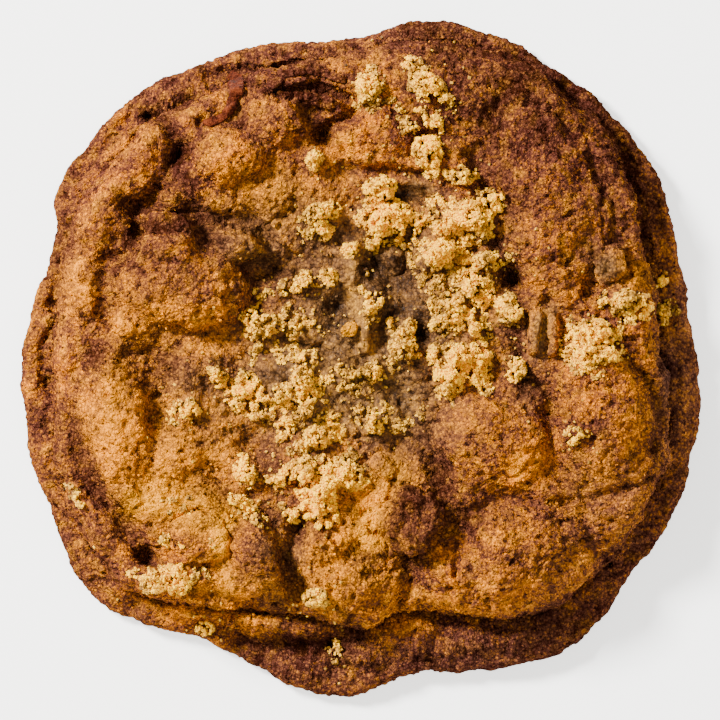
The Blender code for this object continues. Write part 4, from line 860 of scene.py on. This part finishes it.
    # relief, which a film of syrup smooths over in the damp middle
    relief = addNode(tree, "ShaderNodeMapRange", span(0, 1, *c["relief"]), {"Value": (damp, "Fac")})
    bump = None
    for source, socket, depthMm, dips in (
        (specks, 0, c["speckBumpMm"], False), (crumbs, 0, c["crumbBumpMm"], False),
        (grains, "Distance", c["grainBumpMm"], True),
        (pits[0], 0, c["pits"][0][3], True), (pits[1], 0, c["pits"][1][3], True),
    ):
        links = {"Height": (source, socket), "Strength": (relief, 0)}
        if bump:
            links["Normal"] = (bump, 0)
        bump = addNode(tree, "ShaderNodeBump", {"Distance": depthMm * mm}, links)
        bump.invert = dips
    gloss = addNode(tree, "ShaderNodeMapRange", span(0, 1, *c["roughness"]), {"Value": (damp, "Fac")})
    sheen = addNode(tree, "ShaderNodeMapRange", span(0, 1, *c["sheen"]), {"Value": (damp, "Fac")})
    shader = addNode(tree, "ShaderNodeBsdfPrincipled", None, {
        "Base Color": (colour, 2), "Roughness": (gloss, 0), "Specular IOR Level": (sheen, 0),
        "Normal": (bump, 0),
    })
    addNode(tree, "ShaderNodeOutputMaterial", None, {0: (shader, 0)})
    return material


doughPiece = makeDough()
roughenDough(doughPiece)
levelFoot(doughPiece)
doughPoints = positions(doughPiece)
paintCrust(doughPiece, doughPoints, attributeOf(doughPiece, "hollow"), attributeOf(doughPiece, "pore"))
crustMaterial = makeCrustMaterial()
wear(doughPiece, crustMaterial)
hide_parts("cookie")
pick(doughPiece)
bpy.ops.object.shade_smooth()
print("dough finished:", len(doughPiece.data.polygons), "faces")

ground = BVHTree.FromPolygons(
    [v.co / mm for v in doughPiece.data.vertices],
    [p.vertices for p in doughPiece.data.polygons],
)


def groundAt(x, y):
    hit = ground.ray_cast(Vector((x, y, 40)), Vector((0, 0, -1)))  # straight down on the dough
    return hit[0].z if hit[0] else 0.0


# pieces of baked fruit that break through the crust

chunks = {  # length, width, height, yaw, tilt, unevenness, look
    "apple_chunk_south": (8.0, 7.6, 8.0, 50, 8, 1.3, "caramel"),
    "apple_chunk_southwest": (8.2, 6.8, 5.6, 15, -6, 0.8, "crusted"),
    "apple_chunk_centre": (4.2, 2.6, 4.6, -45, 8, 0.5, "crusted"),
    "apple_chunk_hollow": (5.2, 4.4, 4.6, 20, -6, 1.2, "crusted"),
    "apple_chunk_west": (6.0, 3.6, 5.2, -15, 6, 0.9, "caramel"),
    "apple_chunk_east": (4.8, 4.0, 4.6, 112, -8, 1.1, "crusted"),
    "apple_slab_east": (6.2, 1.8, 6.0, 84, 3, 0.5, "crusted"),
    "apple_slab_outer": (6.2, 1.5, 6.0, 88, -3, 0.6, "crusted"),
}

flesh = {
    "roundness": 4.5,  # a power: higher leaves the dice squarer
    "cuts": 5, "smoothing": 2,
    "lumpMm": 2.4, "lumpHeight": 2.0, "fibreMm": 0.8, "fibreHeight": 0.8,
    "tones": {"caramel": 0.8, "crusted": -0.6},
}


def ruffle(piece, size, height, name):
    pattern = bpy.data.textures.new(name, "CLOUDS")
    pattern.noise_scale = size * mm
    pattern.noise_depth = 3
    applyModifier(piece, "DISPLACE", {
        "texture": pattern, "texture_coords": "LOCAL", "strength": height * mm, "mid_level": 0.5,
    })


def makeChunk(node):
    long, wide, tall, yaw, tilt, uneven, look = chunks[node]
    low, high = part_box(node)
    middle = np.array((Vector(low) + Vector(high)) / 2) / mm
    deselectAll()
    bpy.ops.mesh.primitive_cube_add(size=1)
    piece = startPiece(node + "Flesh")
    bpy.ops.object.mode_set(mode="EDIT")
    bpy.ops.mesh.subdivide(number_cuts=flesh["cuts"])
    bpy.ops.object.mode_set(mode="OBJECT")
    points = positions(piece) * mm
    power = flesh["roundness"]
    length = (abs(points) ** power).sum(axis=1) ** (1 / power)
    points *= (0.5 / length)[:, None] * np.array([long, wide, tall])
    turn = Euler((0, math.radians(tilt), math.radians(yaw))).to_matrix()
    setPositions(piece, points @ np.array(turn).T + middle)
    levels = flesh["smoothing"]
    applyModifier(piece, "SUBSURF", {"levels": levels, "render_levels": levels})
    ruffle(piece, flesh["lumpMm"], flesh["lumpHeight"] * uneven, node + " lumps")
    ruffle(piece, flesh["fibreMm"], flesh["fibreHeight"] * uneven, node + " fibre")
    pick(piece)
    bpy.ops.object.shade_smooth()
    flat = positions(piece)
    paintCrust(piece, flat, np.full(len(flat), flesh["tones"][look]), np.zeros(len(flat)))
    wear(piece, crustMaterial)
    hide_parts(node)


ribbon = {
    "cells": (40, 5), "smoothing": 2, "thickness": 0.7,
    "droop": 0.25,  # how far the long edges hang, as a share of the width
    "waveHeight": 0.22, "waves": 7, "waveLag": 1.3, "crinkleMm": 0.8, "crinkleHeight": 0.8,
    "tone": 1.4,
}

ribbons = {  # thin edges of skin or slice: x, y, how far above the dough, width; then the lean
    "apple_peel_northwest": [
        ([(-17.4, 37.5, 0.0, 1.6), (-16.6, 36.8, 0.6, 2.4), (-16.4, 35.6, 0.9, 2.0),
          (-16.8, 34.2, 0.8, 1.3), (-17.2, 32.9, 0.7, 1.1), (-18.6, 31.6, 0.5, 1.1),
          (-20.8, 30.9, -0.1, 0.7)], 25),
    ],
    "apple_curl_north": [
        ([(-12.8, 34.9, 0.0, 1.0), (-10.8, 36.7, 0.8, 1.5), (-8.0, 38.0, 1.2, 1.6),
          (-5.2, 37.9, 1.1, 1.5), (-3.2, 37.1, 0.8, 1.3), (-1.8, 36.6, 0.1, 0.9)], -35),
    ],
    "apple_slice_north": [
        ([(-10.8, 34.7, 0.1, 1.2), (-7.8, 34.5, 1.0, 1.5), (-5.2, 34.1, 1.1, 1.6),
          (-3.3, 33.1, 1.0, 1.5), (-2.9, 31.9, 0.2, 1.0)], 35),
        ([(-10.2, 33.9, 0.1, 0.7), (-8.9, 32.2, 0.8, 0.9), (-8.1, 30.6, 0.7, 0.9),
          (-7.1, 28.8, 0.0, 0.6)], 40),
    ],
}


def smoothLine(corners, share):
    place = min(share * (len(corners) - 1), len(corners) - 1 - 1e-6)
    k, t = int(place), place - int(place)
    ends = [2 * corners[0] - corners[1]] + corners + [2 * corners[-1] - corners[-2]]
    p0, p1, p2, p3 = ends[k:k + 4]
    return 0.5 * (2 * p1 + (p2 - p0) * t + (2 * p0 - 5 * p1 + 4 * p2 - p3) * t**2
                  + (3 * (p1 - p2) + p3 - p0) * t**3)


def makeRibbon(corners, lean, name):
    corners = [np.array(c) for c in corners]
    deselectAll()
    along, wide = ribbon["cells"]
    bpy.ops.mesh.primitive_grid_add(x_subdivisions=along, y_subdivisions=wide, size=2)
    piece = startPiece(name)
    lean = math.radians(lean)
    step = 0.02  # the line's direction is read from this far before to this far after
    points = []
    for u, v, _ in positions(piece) * mm:
        share = (u + 1) / 2
        x, y, rise, width = smoothLine(corners, share)
        before, after = max(share - step, 0), min(share + step, 1)
        ahead = smoothLine(corners, after) - smoothLine(corners, before)
        across = np.array([-ahead[1], ahead[0]]) / math.hypot(ahead[0], ahead[1])
        reach = v * width / 2
        sx, sy = np.array([x, y]) + across * reach * math.cos(lean)
        phase = ribbon["waves"] * share * math.pi + ribbon["waveLag"] * v
        wave = ribbon["waveHeight"] * math.sin(phase)
        droop = -ribbon["droop"] * width * v * v
        points.append((sx, sy, groundAt(x, y) + rise + wave + droop + reach * math.sin(lean)))
    setPositions(piece, points)
    applyModifier(piece, "SOLIDIFY", {"thickness": ribbon["thickness"] * mm, "offset": 0})
    levels = ribbon["smoothing"]
    applyModifier(piece, "SUBSURF", {"levels": levels, "render_levels": levels})
    ruffle(piece, ribbon["crinkleMm"], ribbon["crinkleHeight"], name + " crinkle")
    return piece


def makeRibbons(node):
    made = [makeRibbon(corners, lean, node + "Skin") for corners, lean in ribbons[node]]
    deselectAll()
    for piece in made:
        piece.select_set(True)
    bpy.context.view_layer.objects.active = made[0]
    if len(made) > 1:
        bpy.ops.object.join()
    bpy.ops.object.shade_smooth()
    flat = positions(made[0])
    paintCrust(made[0], flat, np.full(len(flat), ribbon["tone"]), np.zeros(len(flat)))
    wear(made[0], skinMaterial if "peel" in node else crustMaterial)
    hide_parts(node)


skin = {
    "wrinkleMm": 0.9, "detail": 5, "unevenness": 0.75, "bumpMm": 0.6, "roughness": 0.55, "sheen": 0.03,
    "ramp": [(0.36, "#1F0A04"), (0.50, "#4A1D0E"), (0.62, "#6F3419")],
}


def makeSkinMaterial():
    # apple skin dried in the oven: dull red-brown, crinkled, darker in its wrinkles
    material, tree = newMaterial("driedAppleSkin")
    spot = addNode(tree, "ShaderNodeTexCoord")
    wrinkles = addNode(tree, "ShaderNodeTexNoise", {
        "Scale": perMm(skin["wrinkleMm"]), "Detail": skin["detail"], "Roughness": skin["unevenness"],
    }, {"Vector": (spot, "Object")})
    colour = addNode(tree, "ShaderNodeValToRGB", None, {0: (wrinkles, 0)})
    setRamp(colour, skin["ramp"])
    bump = addNode(tree, "ShaderNodeBump", {"Distance": skin["bumpMm"] * mm}, {"Height": (wrinkles, 0)})
    shader = addNode(tree, "ShaderNodeBsdfPrincipled",
                     {"Roughness": skin["roughness"], "Specular IOR Level": skin["sheen"]},
                     {"Base Color": (colour, 0), "Normal": (bump, 0)})
    addNode(tree, "ShaderNodeOutputMaterial", None, {0: (shader, 0)})
    return material


skinMaterial = makeSkinMaterial()
for node in chunks:
    makeChunk(node)
for node in ribbons:
    makeRibbons(node)
print("fruit pieces finished")


# brown sugar: single crystals, heaped where the solids have their clumps and drifts

sugar = {
    # the solids' clumps, which the heaps stand on
    "spacing": 1.6, "shrink": 0.86, "smallest": 0.9, "size": 1.15, "tries": 22, "most": 66,
    "varies": (0.85, 1.1), "gap": 0.35, "seed": 11,
    # crystals: an edge's length, how far apart, and how uneven the corners and the shape are
    "grain": (0.20, 0.35), "apart": 0.225, "corners": (0.72, 1.2), "stretch": (0.75, 1.25),
    # where crystals are tried
    "spots": 3120000, "spotSeed": 16, "reach": 44, "leastCover": 0.02, "laceReach": 1.6,
    "least": 0.50, "fullOver": 0.6, "clumpAmount": 0.3, "lowest": 3, "lift": 0.05,
    "heap": 1.6, "onClumps": 0.7,  # how high the sugar stands over the dough, and on a clump
    "raggedMm": 2.2, "raggedMean": 0.65, "raggedVaries": 1.2, "thinnest": 0.15, "topHeavy": 0.7,
    "openingsMm": (1.25, 0.62), "openings": (0.62, 0.68),  # holes in the heaps
    "openFrom": 0.03, "openTop": 0.22, "openWhenFull": 0.3,
    "openMm": 1.1, "openMix": 0.75, "driftMm": 2.8, "driftMix": 0.75, "openWithin": (0.1, 0.5),
    "strayGrains": 500, "strayShare": 0.9, "strayMm": 1,  # single grains round the patches
    "dryMm": 2.6, "dryMix": 0.9,  # some heaps are drier and paler
    "tintBase": 0.28, "tintHeight": 0.45, "tintMost": 1.3, "tintSpread": (-0.4, 0.5), "strayTint": 0.7,
    "looks": [  # dark, middle and light colour
        ("sugarGrainsPale", "#A67724", "#DAA435", "#FFC80A"),
        ("sugarGrainsGolden", "#896022", "#CB9630", "#FFC207"),
        ("sugarGrainsAmber", "#65431D", "#B8852B", "#FAB605"),
        ("sugarGrainsMoist", "#482E16", "#A07124", "#E7A20A"),
    ],
    "roughness": 0.45, "sheen": 0.05,
    "dry": [  # fuller and paler heaps: x, y, half length, half width, turn, share
        (-6, -17, 6, 4.4, 0, 0.42), (16.2, 18.6, 3.6, 3.2, 0, 0.38), (31, 3, 5, 5, 0, 0.14),
        (13, 1, 5, 8, 0, 0.2), (8, 29, 5, 12, 20, 0.3), (-6, 26, 2, 2, 0, 0.4),
        (-15, -15, 4, 3, 0, 0.2), (3, 19, 5, 4, 0, 0.2), (-4, -8.6, 2.6, 4, 0, 0.45),
        (12.6, 14, 2.6, 2.6, 0, 0.55), (16.4, -2.4, 2, 3, 0, 0.45),
        (-3.8, -20.6, 2.2, 2.4, 0, 0.35), (0.6, 18, 2, 2, 0, 0.4), (-23, -30, 4, 2, 0, 0.35),
        (-17.6, -4.8, 3.4, 1.8, -20, 0.3), (36, 6, 3, 2, 0, 0.25),
    ],
    # thin lacy sugar between the clumps, and bare places: x, y, half length, half width, turn, share
    "lace": [
        (13.2, 5, 5.2, 12, 0, 0.8), (12.4, 18, 7.5, 4.5, 10, 0.85), (3.4, 18.4, 4, 4, 0, 0.8),
        (-4, -5, 15, 7, -30, 0.72), (-7, -15, 8.5, 6.5, 0, 0.72), (-9, 5, 7, 6, 0, 0.7),
        (3, -8, 6, 6, 0, 0.62), (5.8, 2, 3, 5, 0, 0.75), (1.6, 7.4, 2.2, 4, 0, 0.7),
        (8, 33, 5.5, 5.5, 0, 0.55), (1, 35.2, 2.4, 3.4, 0, 0.8), (-26, -29.4, 6, 2.6, 0, 0.6),
        (-5.6, 18, 4, 2.6, 40, 0.6), (10, 26.4, 4.4, 3.4, -40, 0.6), (34, 5.6, 5, 4, 20, 0.55),
        (30.8, 1.4, 4.8, 4.4, 0, 1.1), (35.8, 6.6, 3.2, 2.6, 10, 0.9),
        (-5.4, -31.6, 2.6, 2, 0, 0.6), (12, 14.2, 2.4, 2.2, 0, 1.3), (36.4, 6, 2.2, 2, 0, 1.1),
        (0.6, 18.2, 1.6, 1.6, 0, 1.1), (13.6, 14.2, 1.6, 2.4, 0, 1.3),
        (4.4, 14.6, 1.6, 1.1, 0, 1.3), (-4, -15, 3.2, 2.4, 0, 1.2), (-5, -18.8, 2.4, 2.4, 0, 1.2),
        (-3.8, -21.6, 1.6, 1.1, 0, 1), (0.2, -15.4, 1.8, 1.6, 0, 1.1),
        (-8.4, -19.4, 1.4, 2, 0, 0.9), (3.4, 14.6, 2.4, 1.8, 0, 1.3), (16.2, 18, 2.2, 2.2, 0, 1.3),
        (-4.4, 10.4, 1.6, 1.3, 0, 1), (-16, -6, 2.4, 1.5, -30, 1.2), (-1, 14, 1.6, 1.4, 0, 0.7),
        (16.2, -2.4, 1.8, 2.8, 0, 1.2), (41.2, 6.4, 2, 1.5, 15, 0.85),
        (40.6, 10.2, 0.9, 1.3, 0, 0.8), (-24, -24.8, 3.2, 1.5, -24, 0.78),
        (-19.8, -25.4, 1.3, 1.7, 0, 0.7), (-4, -10.4, 2.6, 2, 0, 1.2), (7.2, 12.4, 1, 2.4, 0, 0.9),
        (1.2, 10.8, 0.8, 0.7, 0, 0.8), (-37.8, -18.6, 2.2, 1, -45, 0.85),
        (-23.6, -7.4, 3.4, 1.8, 15, 0.6), (-24, -19.6, 4, 2, 0, 0.5),
        (28.4, -10.6, 2.4, 2.2, 0, 0.5),
    ],
    "bare": [
        (3.9, 11, 2.5, 1.8, 10, 0.95), (-3, 6, 2.2, 3.4, 0, 0.9), (-11, 12.4, 4.6, 1.9, -10, 0.9),
        (8.2, 3, 1.2, 2.8, 0, 0.9), (6.6, 21.5, 2.4, 1, 0, 0.9), (-8.4, 7.8, 2.6, 1, 0, 0.6),
        (2.4, 2.6, 1.4, 2.4, 0, 0.8), (20.2, 11, 1.6, 1.9, -30, 1), (6.6, 16.8, 1.1, 1.4, 0, 0.8),
        (-6.6, 1.5, 1.7, 0.6, 0, 0.8), (5.4, -4.8, 2.2, 2.2, 0, 0.8), (6.2, 6.8, 2.6, 1.2, 0, 0.7),
        (2, -5.4, 2, 1, 0, 0.6), (-3.6, -12.2, 2.2, 1, 20, 0.6), (9, -12, 4, 3, 0, 0.9),
        (-12, -2, 2.6, 1.8, -20, 0.95), (-12, -13.8, 2.6, 2, 0, 0.9), (0, -10.4, 1.8, 1.6, 0, 0.8),
        (3.4, -11.4, 3, 1.8, 0, 0.8), (8.2, 6.2, 1.8, 1.8, 0, 0.9), (-12, 6.6, 2, 1.2, 0, 0.6),
        (28.2, -10.4, 1.2, 1.2, 0, 0.4), (12.4, 27.2, 1.7, 3.2, 0, 1),
        (28.2, -10.4, 1.8, 1.8, 0, 0.7), (8, -2, 1.6, 1.6, 0, 0.9), (20.4, 2.2, 1.6, 1.8, 0, 0.9),
        (-12.6, -17.6, 2, 1.2, -30, 0.8), (24, 4, 2.4, 4, 0, 1), (-17, 2, 2, 5, 0, 0.6),
    ],
}


def clumpPlaces():
    # the same draws as for the solids' clumps
    draw = random.Random(sugar["seed"])
    corners = [
        np.array([v.co[:2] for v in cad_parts[node].data.vertices]) / mm
        for node in list(chunks) + list(ribbons)
    ]
    placed = []
    for rank in range(sugar["tries"]):
        for px, py, long, wide, turn, clump in sugarPatches:
            radius = sugar["size"] * clump * sugar["shrink"] ** (rank / 2)
            radius *= draw.uniform(*sugar["varies"])
            reach, angle = math.sqrt(draw.random()), draw.uniform(0, math.tau)
            if rank == 0:
                reach = 0
            along = long * reach * math.cos(angle)
            across = wide * reach * math.sin(angle)
            yaw = math.radians(turn)
            x = px + along * math.cos(yaw) - across * math.sin(yaw)
            y = py + along * math.sin(yaw) + across * math.cos(yaw)
            if radius < sugar["smallest"] or len(placed) >= sugar["most"]:
                continue
            crowded = any(math.hypot(x - qx, y - qy) < sugar["spacing"] * (radius + qr) / 2
                          for qx, qy, qr in placed)
            near = min(np.hypot(c[:, 0] - x, c[:, 1] - y).min() for c in corners)
            if not crowded and near >= radius + 2 * sugar["gap"]:
                placed.append((x, y, radius))
    return placed


def sugarAmount(x, y):
    s = sugar
    amount = sugarCover(x, y)
    for cx, cy, long, wide, turn, share in s["lace"]:
        reach = ellipseReach(x, y, cx, cy, long, wide, turn)
        amount = np.maximum(amount, share * np.exp(-(reach ** 2)))
    for cx, cy, long, wide, turn, share in s["bare"]:
        amount *= 1 - share * np.exp(-(ellipseReach(x, y, cx, cy, long, wide, turn) ** 2))
    holes = s["openMix"] * noiseOf(x, y, s["openMm"], 31.5)
    holes += s["driftMix"] * noiseOf(x, y, s["driftMm"], 37.5)
    return amount + holes * smoothStep(*s["openWithin"], amount)


def apartFromOthers(places, order):
    # crystals touch but don't run into each other, which leaves dark gaps between them
    apart, taken, chosen = sugar["apart"], {}, []
    beside = [(a, b, c) for a in (-1, 0, 1) for b in (-1, 0, 1) for c in (-1, 0, 1)]
    cells = np.floor(places / apart).astype(int)
    for i in order:
        cx, cy, cz = cells[i].tolist()
        px, py, pz = places[i].tolist()
        near = (q for a, b, c in beside for q in taken.get((cx + a, cy + b, cz + c), ()))
        if any((px - qx)**2 + (py - qy)**2 + (pz - qz)**2 < apart**2 for qx, qy, qz in near):
            continue
        taken.setdefault((cx, cy, cz), []).append((px, py, pz))
        chosen.append(i)
    return np.array(chosen)


def sugarGrainPlaces():
    # open heaps, higher where there is more sugar and on the clumps; noise in all three
    # directions leaves holes and branches, as crystals that stick together do
    s = sugar
    draw = np.random.default_rng(s["spotSeed"])
    x, y = draw.uniform(-s["reach"], s["reach"], (s["spots"], 2)).T
    likely = sugarCover(x, y) > s["leastCover"]
    for cx, cy, long, wide, turn, _ in s["lace"]:
        likely |= ellipseReach(x, y, cx, cy, long, wide, turn) < s["laceReach"]
    x, y = x[likely], y[likely]
    onClump = np.zeros(len(x))
    for cx, cy, radius in clumpPlaces():
        reach = np.hypot(x - cx, y - cy) / radius
        onClump = np.maximum(onClump, radius * np.sqrt(np.clip(1 - reach**2, 0, None)))
    amount = sugarAmount(x, y) + s["clumpAmount"] * smoothStep(0, 1, onClump)
    kept = amount > s["least"]
    x, y, amount, onClump = (values[kept] for values in (x, y, amount, onClump))
    full = smoothStep(s["least"], s["least"] + s["fullOver"], amount)
    ragged = s["raggedMean"] + s["raggedVaries"] * noiseOf(x, y, s["raggedMm"], 51.5)
    rise = s["heap"] * full * np.clip(ragged, s["thinnest"], None) + s["onClumps"] * onClump
    up = draw.random(len(x)) ** s["topHeavy"]
    base = np.array([groundAt(a, b) for a, b in zip(x, y)])
    z = base + s["lift"] + rise * up
    fuller = toneAt(s["dry"], x, y)
    kept = np.zeros(len(x), bool)
    for i, place in enumerate(np.stack([x, y, z], axis=1)):
        branch = sum(mix * noise.noise(Vector(place) / size)
                     for size, mix in zip(s["openingsMm"], s["openings"]))
        least = s["openFrom"] + s["openTop"] * up[i] ** 2 - s["openWhenFull"] * fuller[i]
        kept[i] = base[i] > s["lowest"] and branch > least
    places = np.stack([x, y, z], axis=1)
    chosen = apartFromOthers(places, np.flatnonzero(kept))
    print("sugar:", len(chosen), "crystals of", kept.sum(), "places kept")
    return places[chosen], up[chosen], rise[chosen]


def joinedCopies(name, corners, faces, places, tints):
    # corners: one set of points for each copy; all copies have the same faces
    count, each = corners.shape[:2]
    points = corners + places[:, None, :]
    index = (faces[None] + each * np.arange(count)[:, None, None]).reshape(-1, 3)
    mesh = bpy.data.meshes.new(name)
    mesh.from_pydata((points.reshape(-1, 3) * mm).tolist(), [], index.tolist())
    piece = bpy.data.objects.new(name, mesh)
    bpy.context.scene.collection.objects.link(piece)
    paint(piece, "tint", np.repeat(tints, each))
    return piece


def shapeOf(add, **settings):
    deselectAll()
    add(**settings)
    shape = bpy.context.object
    bpy.ops.object.mode_set(mode="EDIT")
    bpy.ops.mesh.quads_convert_to_tris()
    bpy.ops.object.mode_set(mode="OBJECT")
    corners = positions(shape) * mm
    faces = np.array([p.vertices[:] for p in shape.data.polygons])
    bpy.data.objects.remove(shape, do_unlink=True)
    return corners, faces


def turned(corners, sizes, draw):
    # each copy gets its own turn, stretch and uneven corners
    count = len(sizes)
    q = draw.normal(size=(count, 4))
    w, i, j, k = (q / np.linalg.norm(q, axis=1)[:, None]).T
    turns = np.stack([
        1 - 2 * (j * j + k * k), 2 * (i * j - k * w), 2 * (i * k + j * w),
        2 * (i * j + k * w), 1 - 2 * (i * i + k * k), 2 * (j * k - i * w),
        2 * (i * k - j * w), 2 * (j * k + i * w), 1 - 2 * (i * i + j * j),
    ], axis=1).reshape(count, 3, 3)
    uneven = draw.uniform(*sugar["corners"], (count, len(corners), 1))
    uneven = uneven * draw.uniform(*sugar["stretch"], (count, 1, 3))
    return np.einsum("nij,nvj->nvi", turns, corners[None] * uneven * sizes[:, None, None])


def makeSugarMaterial(name, dark, middle, light):
    # soft brown sugar: clear crystals in a film of molasses, so each grain is a little
    # different and its faces catch the light
    material, tree = newMaterial(name)
    tint = addNode(tree, "ShaderNodeAttribute", {"attribute_name": "tint"})
    colour = addNode(tree, "ShaderNodeValToRGB", None, {0: (tint, "Fac")})
    setRamp(colour, [(0.0, dark), (0.5, middle), (1.0, light)])
    shader = addNode(tree, "ShaderNodeBsdfPrincipled", {
        "Roughness": sugar["roughness"], "Specular IOR Level": sugar["sheen"],
    }, {"Base Color": (colour, 0)})
    addNode(tree, "ShaderNodeOutputMaterial", None, {0: (shader, 0)})
    return material


def strayPlaces():
    s = sugar
    draw = random.Random(s["seed"])
    stray = []
    for _ in range(s["strayGrains"]):
        px, py, long, wide, turn, _ = draw.choice(sugarPatches)
        x = px + draw.gauss(0, s["strayShare"] * long + s["strayMm"])
        y = py + draw.gauss(0, s["strayShare"] * wide + s["strayMm"])
        height = groundAt(x, y)
        if height > s["lowest"]:
            stray.append((x, y, height + s["lift"]))
    return stray


def makeSugar():
    s = sugar
    places, up, rise = sugarGrainPlaces()
    stray = strayPlaces()
    draw = np.random.default_rng(s["seed"])
    x, y, _ = places.T
    dry = s["dryMix"] * noiseOf(x, y, s["dryMm"], 41.5)
    dry += toneAt(s["dry"], x, y)
    tints = s["tintBase"] + dry + s["tintHeight"] * up * np.clip(rise, 0, s["tintMost"])
    tints += draw.uniform(*s["tintSpread"], len(places))
    places = np.vstack([places, stray])
    tints = np.clip(np.concatenate([tints, draw.uniform(0, s["strayTint"], len(stray))]), 0, 1)
    print("sugar:", len(places), "grains")
    corners, faces = shapeOf(bpy.ops.mesh.primitive_cube_add, size=1)
    kind = draw.integers(0, len(s["looks"]), len(places))
    for number, (name, dark, middle, light) in enumerate(s["looks"]):
        mine = places[kind == number]
        sizes = draw.uniform(*s["grain"], len(mine))
        piece = joinedCopies(name, turned(corners, sizes, draw), faces, mine, tints[kind == number])
        wear(piece, makeSugarMaterial(name + "Crystal", dark, middle, light))


looseCrumb = {
    "count": 5000, "size": (0.20, 0.38), "tones": (-1.8, 0.2),  # an edge's length, from pale to dark
    "scatter": 0.04, "sink": 0.06,  # half sunk in the crust
    "lowest": 3.0, "within": 0.96,  # none near the outline
    "seed": 20,
}


def makeCrustGrains():
    # loose crumb of the crust, in the crust's own tones
    c = looseCrumb
    draw = np.random.default_rng(c["seed"])
    chosen = draw.choice(len(doughPoints), c["count"], replace=False)
    places = doughPoints[chosen]
    out = howFarOut(places[:, 0], places[:, 1], "rimRadii")
    places = places[(places[:, 2] > c["lowest"]) & (out < c["within"])]
    sizes = draw.uniform(*c["size"], len(places))
    corners, faces = shapeOf(bpy.ops.mesh.primitive_cube_add, size=1)
    places = places + draw.normal(size=places.shape) * c["scatter"] - np.array([0, 0, c["sink"]])
    copies = turned(corners, sizes, draw)
    piece = joinedCopies("crustGrains", copies, faces, places, np.zeros(len(places)))
    flat = positions(piece)
    shade = np.repeat(draw.uniform(*c["tones"], len(places)), len(corners))
    paintCrust(piece, flat, shade, np.zeros(len(flat)))
    wear(piece, crustMaterial)


flake = {
    "place": (-1.4, 3.7), "height": 1.1, "size": (2.3, 1.9, 0.9), "lean": (0.15, 0.1), "turn": 35,
    "lumpMm": 1.1, "uneven": 0.5, "tone": -4.2,
}


def makeFlake():
    # a crumb of golden crust that fell among the sugar
    deselectAll()
    bpy.ops.mesh.primitive_ico_sphere_add(subdivisions=4, radius=0.5)
    piece = startPiece("goldenFlake")
    x, y = flake["place"]
    turn = np.array(Euler((*flake["lean"], math.radians(flake["turn"]))).to_matrix())
    points = (positions(piece) * mm * np.array(flake["size"])) @ turn.T
    setPositions(piece, points + np.array([x, y, groundAt(x, y) + flake["height"]]))
    ruffle(piece, flake["lumpMm"], flake["uneven"], "flake lumps")
    pick(piece)
    bpy.ops.object.shade_smooth()
    flat = positions(piece)
    paintCrust(piece, flat, np.full(len(flat), flake["tone"]), np.zeros(len(flat)))
    for name, value in (("damp", 0), ("yellow", 1)):
        piece.data.attributes[name].data.foreach_set("value", np.full(len(flat), value, np.float32))
    wear(piece, crustMaterial)


makeSugar()
makeFlake()
makeCrustGrains()
print("sugar and crumbs finished")


# floor and light

studio = {
    "floor": "#F4F3F0", "floorSize": 4, "glow": 1.8, "roughness": 0.9, "sheen": 0.1,
    "fibreMm": 1.111, "fibreStrength": 0.05, "fibreDepthMm": 0.02,
    "lights": [  # place and size in metres, power in watts
        ("key", (-0.60, 0.42, 0.62), 0.20, 40),
        ("fill", (0.35, -0.3, 0.9), 0.9, 3.3),
    ],
    "world": 0.64, "worldColour": (1, 0.95, 0.88, 1),  # a warm white, linear
}


def makeStudio():
    deselectAll()
    bpy.ops.mesh.primitive_plane_add(size=studio["floorSize"])
    floor = startPiece("floor")
    material, tree = newMaterial("palePaper")  # matt, with a hint of fibre
    spot = addNode(tree, "ShaderNodeTexCoord")
    fibres = addNode(tree, "ShaderNodeTexNoise", {"Scale": perMm(studio["fibreMm"])},
                     {"Vector": (spot, "Object")})
    bump = addNode(tree, "ShaderNodeBump", {
        "Strength": studio["fibreStrength"], "Distance": studio["fibreDepthMm"] * mm,
    }, {"Height": (fibres, 0)})
    colour = hexToLinear(studio["floor"])
    shader = addNode(tree, "ShaderNodeBsdfPrincipled", {
        "Base Color": colour, "Roughness": studio["roughness"],
        "Specular IOR Level": studio["sheen"],
        "Emission Color": colour, "Emission Strength": studio["glow"],
    }, {"Normal": (bump, 0)})
    addNode(tree, "ShaderNodeOutputMaterial", None, {0: (shader, 0)})
    floor.data.materials.append(material)

    for name, place, size, power in studio["lights"]:
        data = bpy.data.lights.new(name, "AREA")
        data.size = size
        data.energy = power
        lamp = bpy.data.objects.new(name, data)
        lamp.location = place
        lamp.rotation_euler = (-Vector(place)).to_track_quat("-Z", "Y").to_euler()
        bpy.context.scene.collection.objects.link(lamp)

    world = bpy.data.worlds.new("studio")
    bpy.context.scene.world = world
    world.use_nodes = True
    background = world.node_tree.nodes["Background"]
    background.inputs[0].default_value = studio["worldColour"]
    background.inputs[1].default_value = studio["world"]


makeStudio()
print("studio ready")
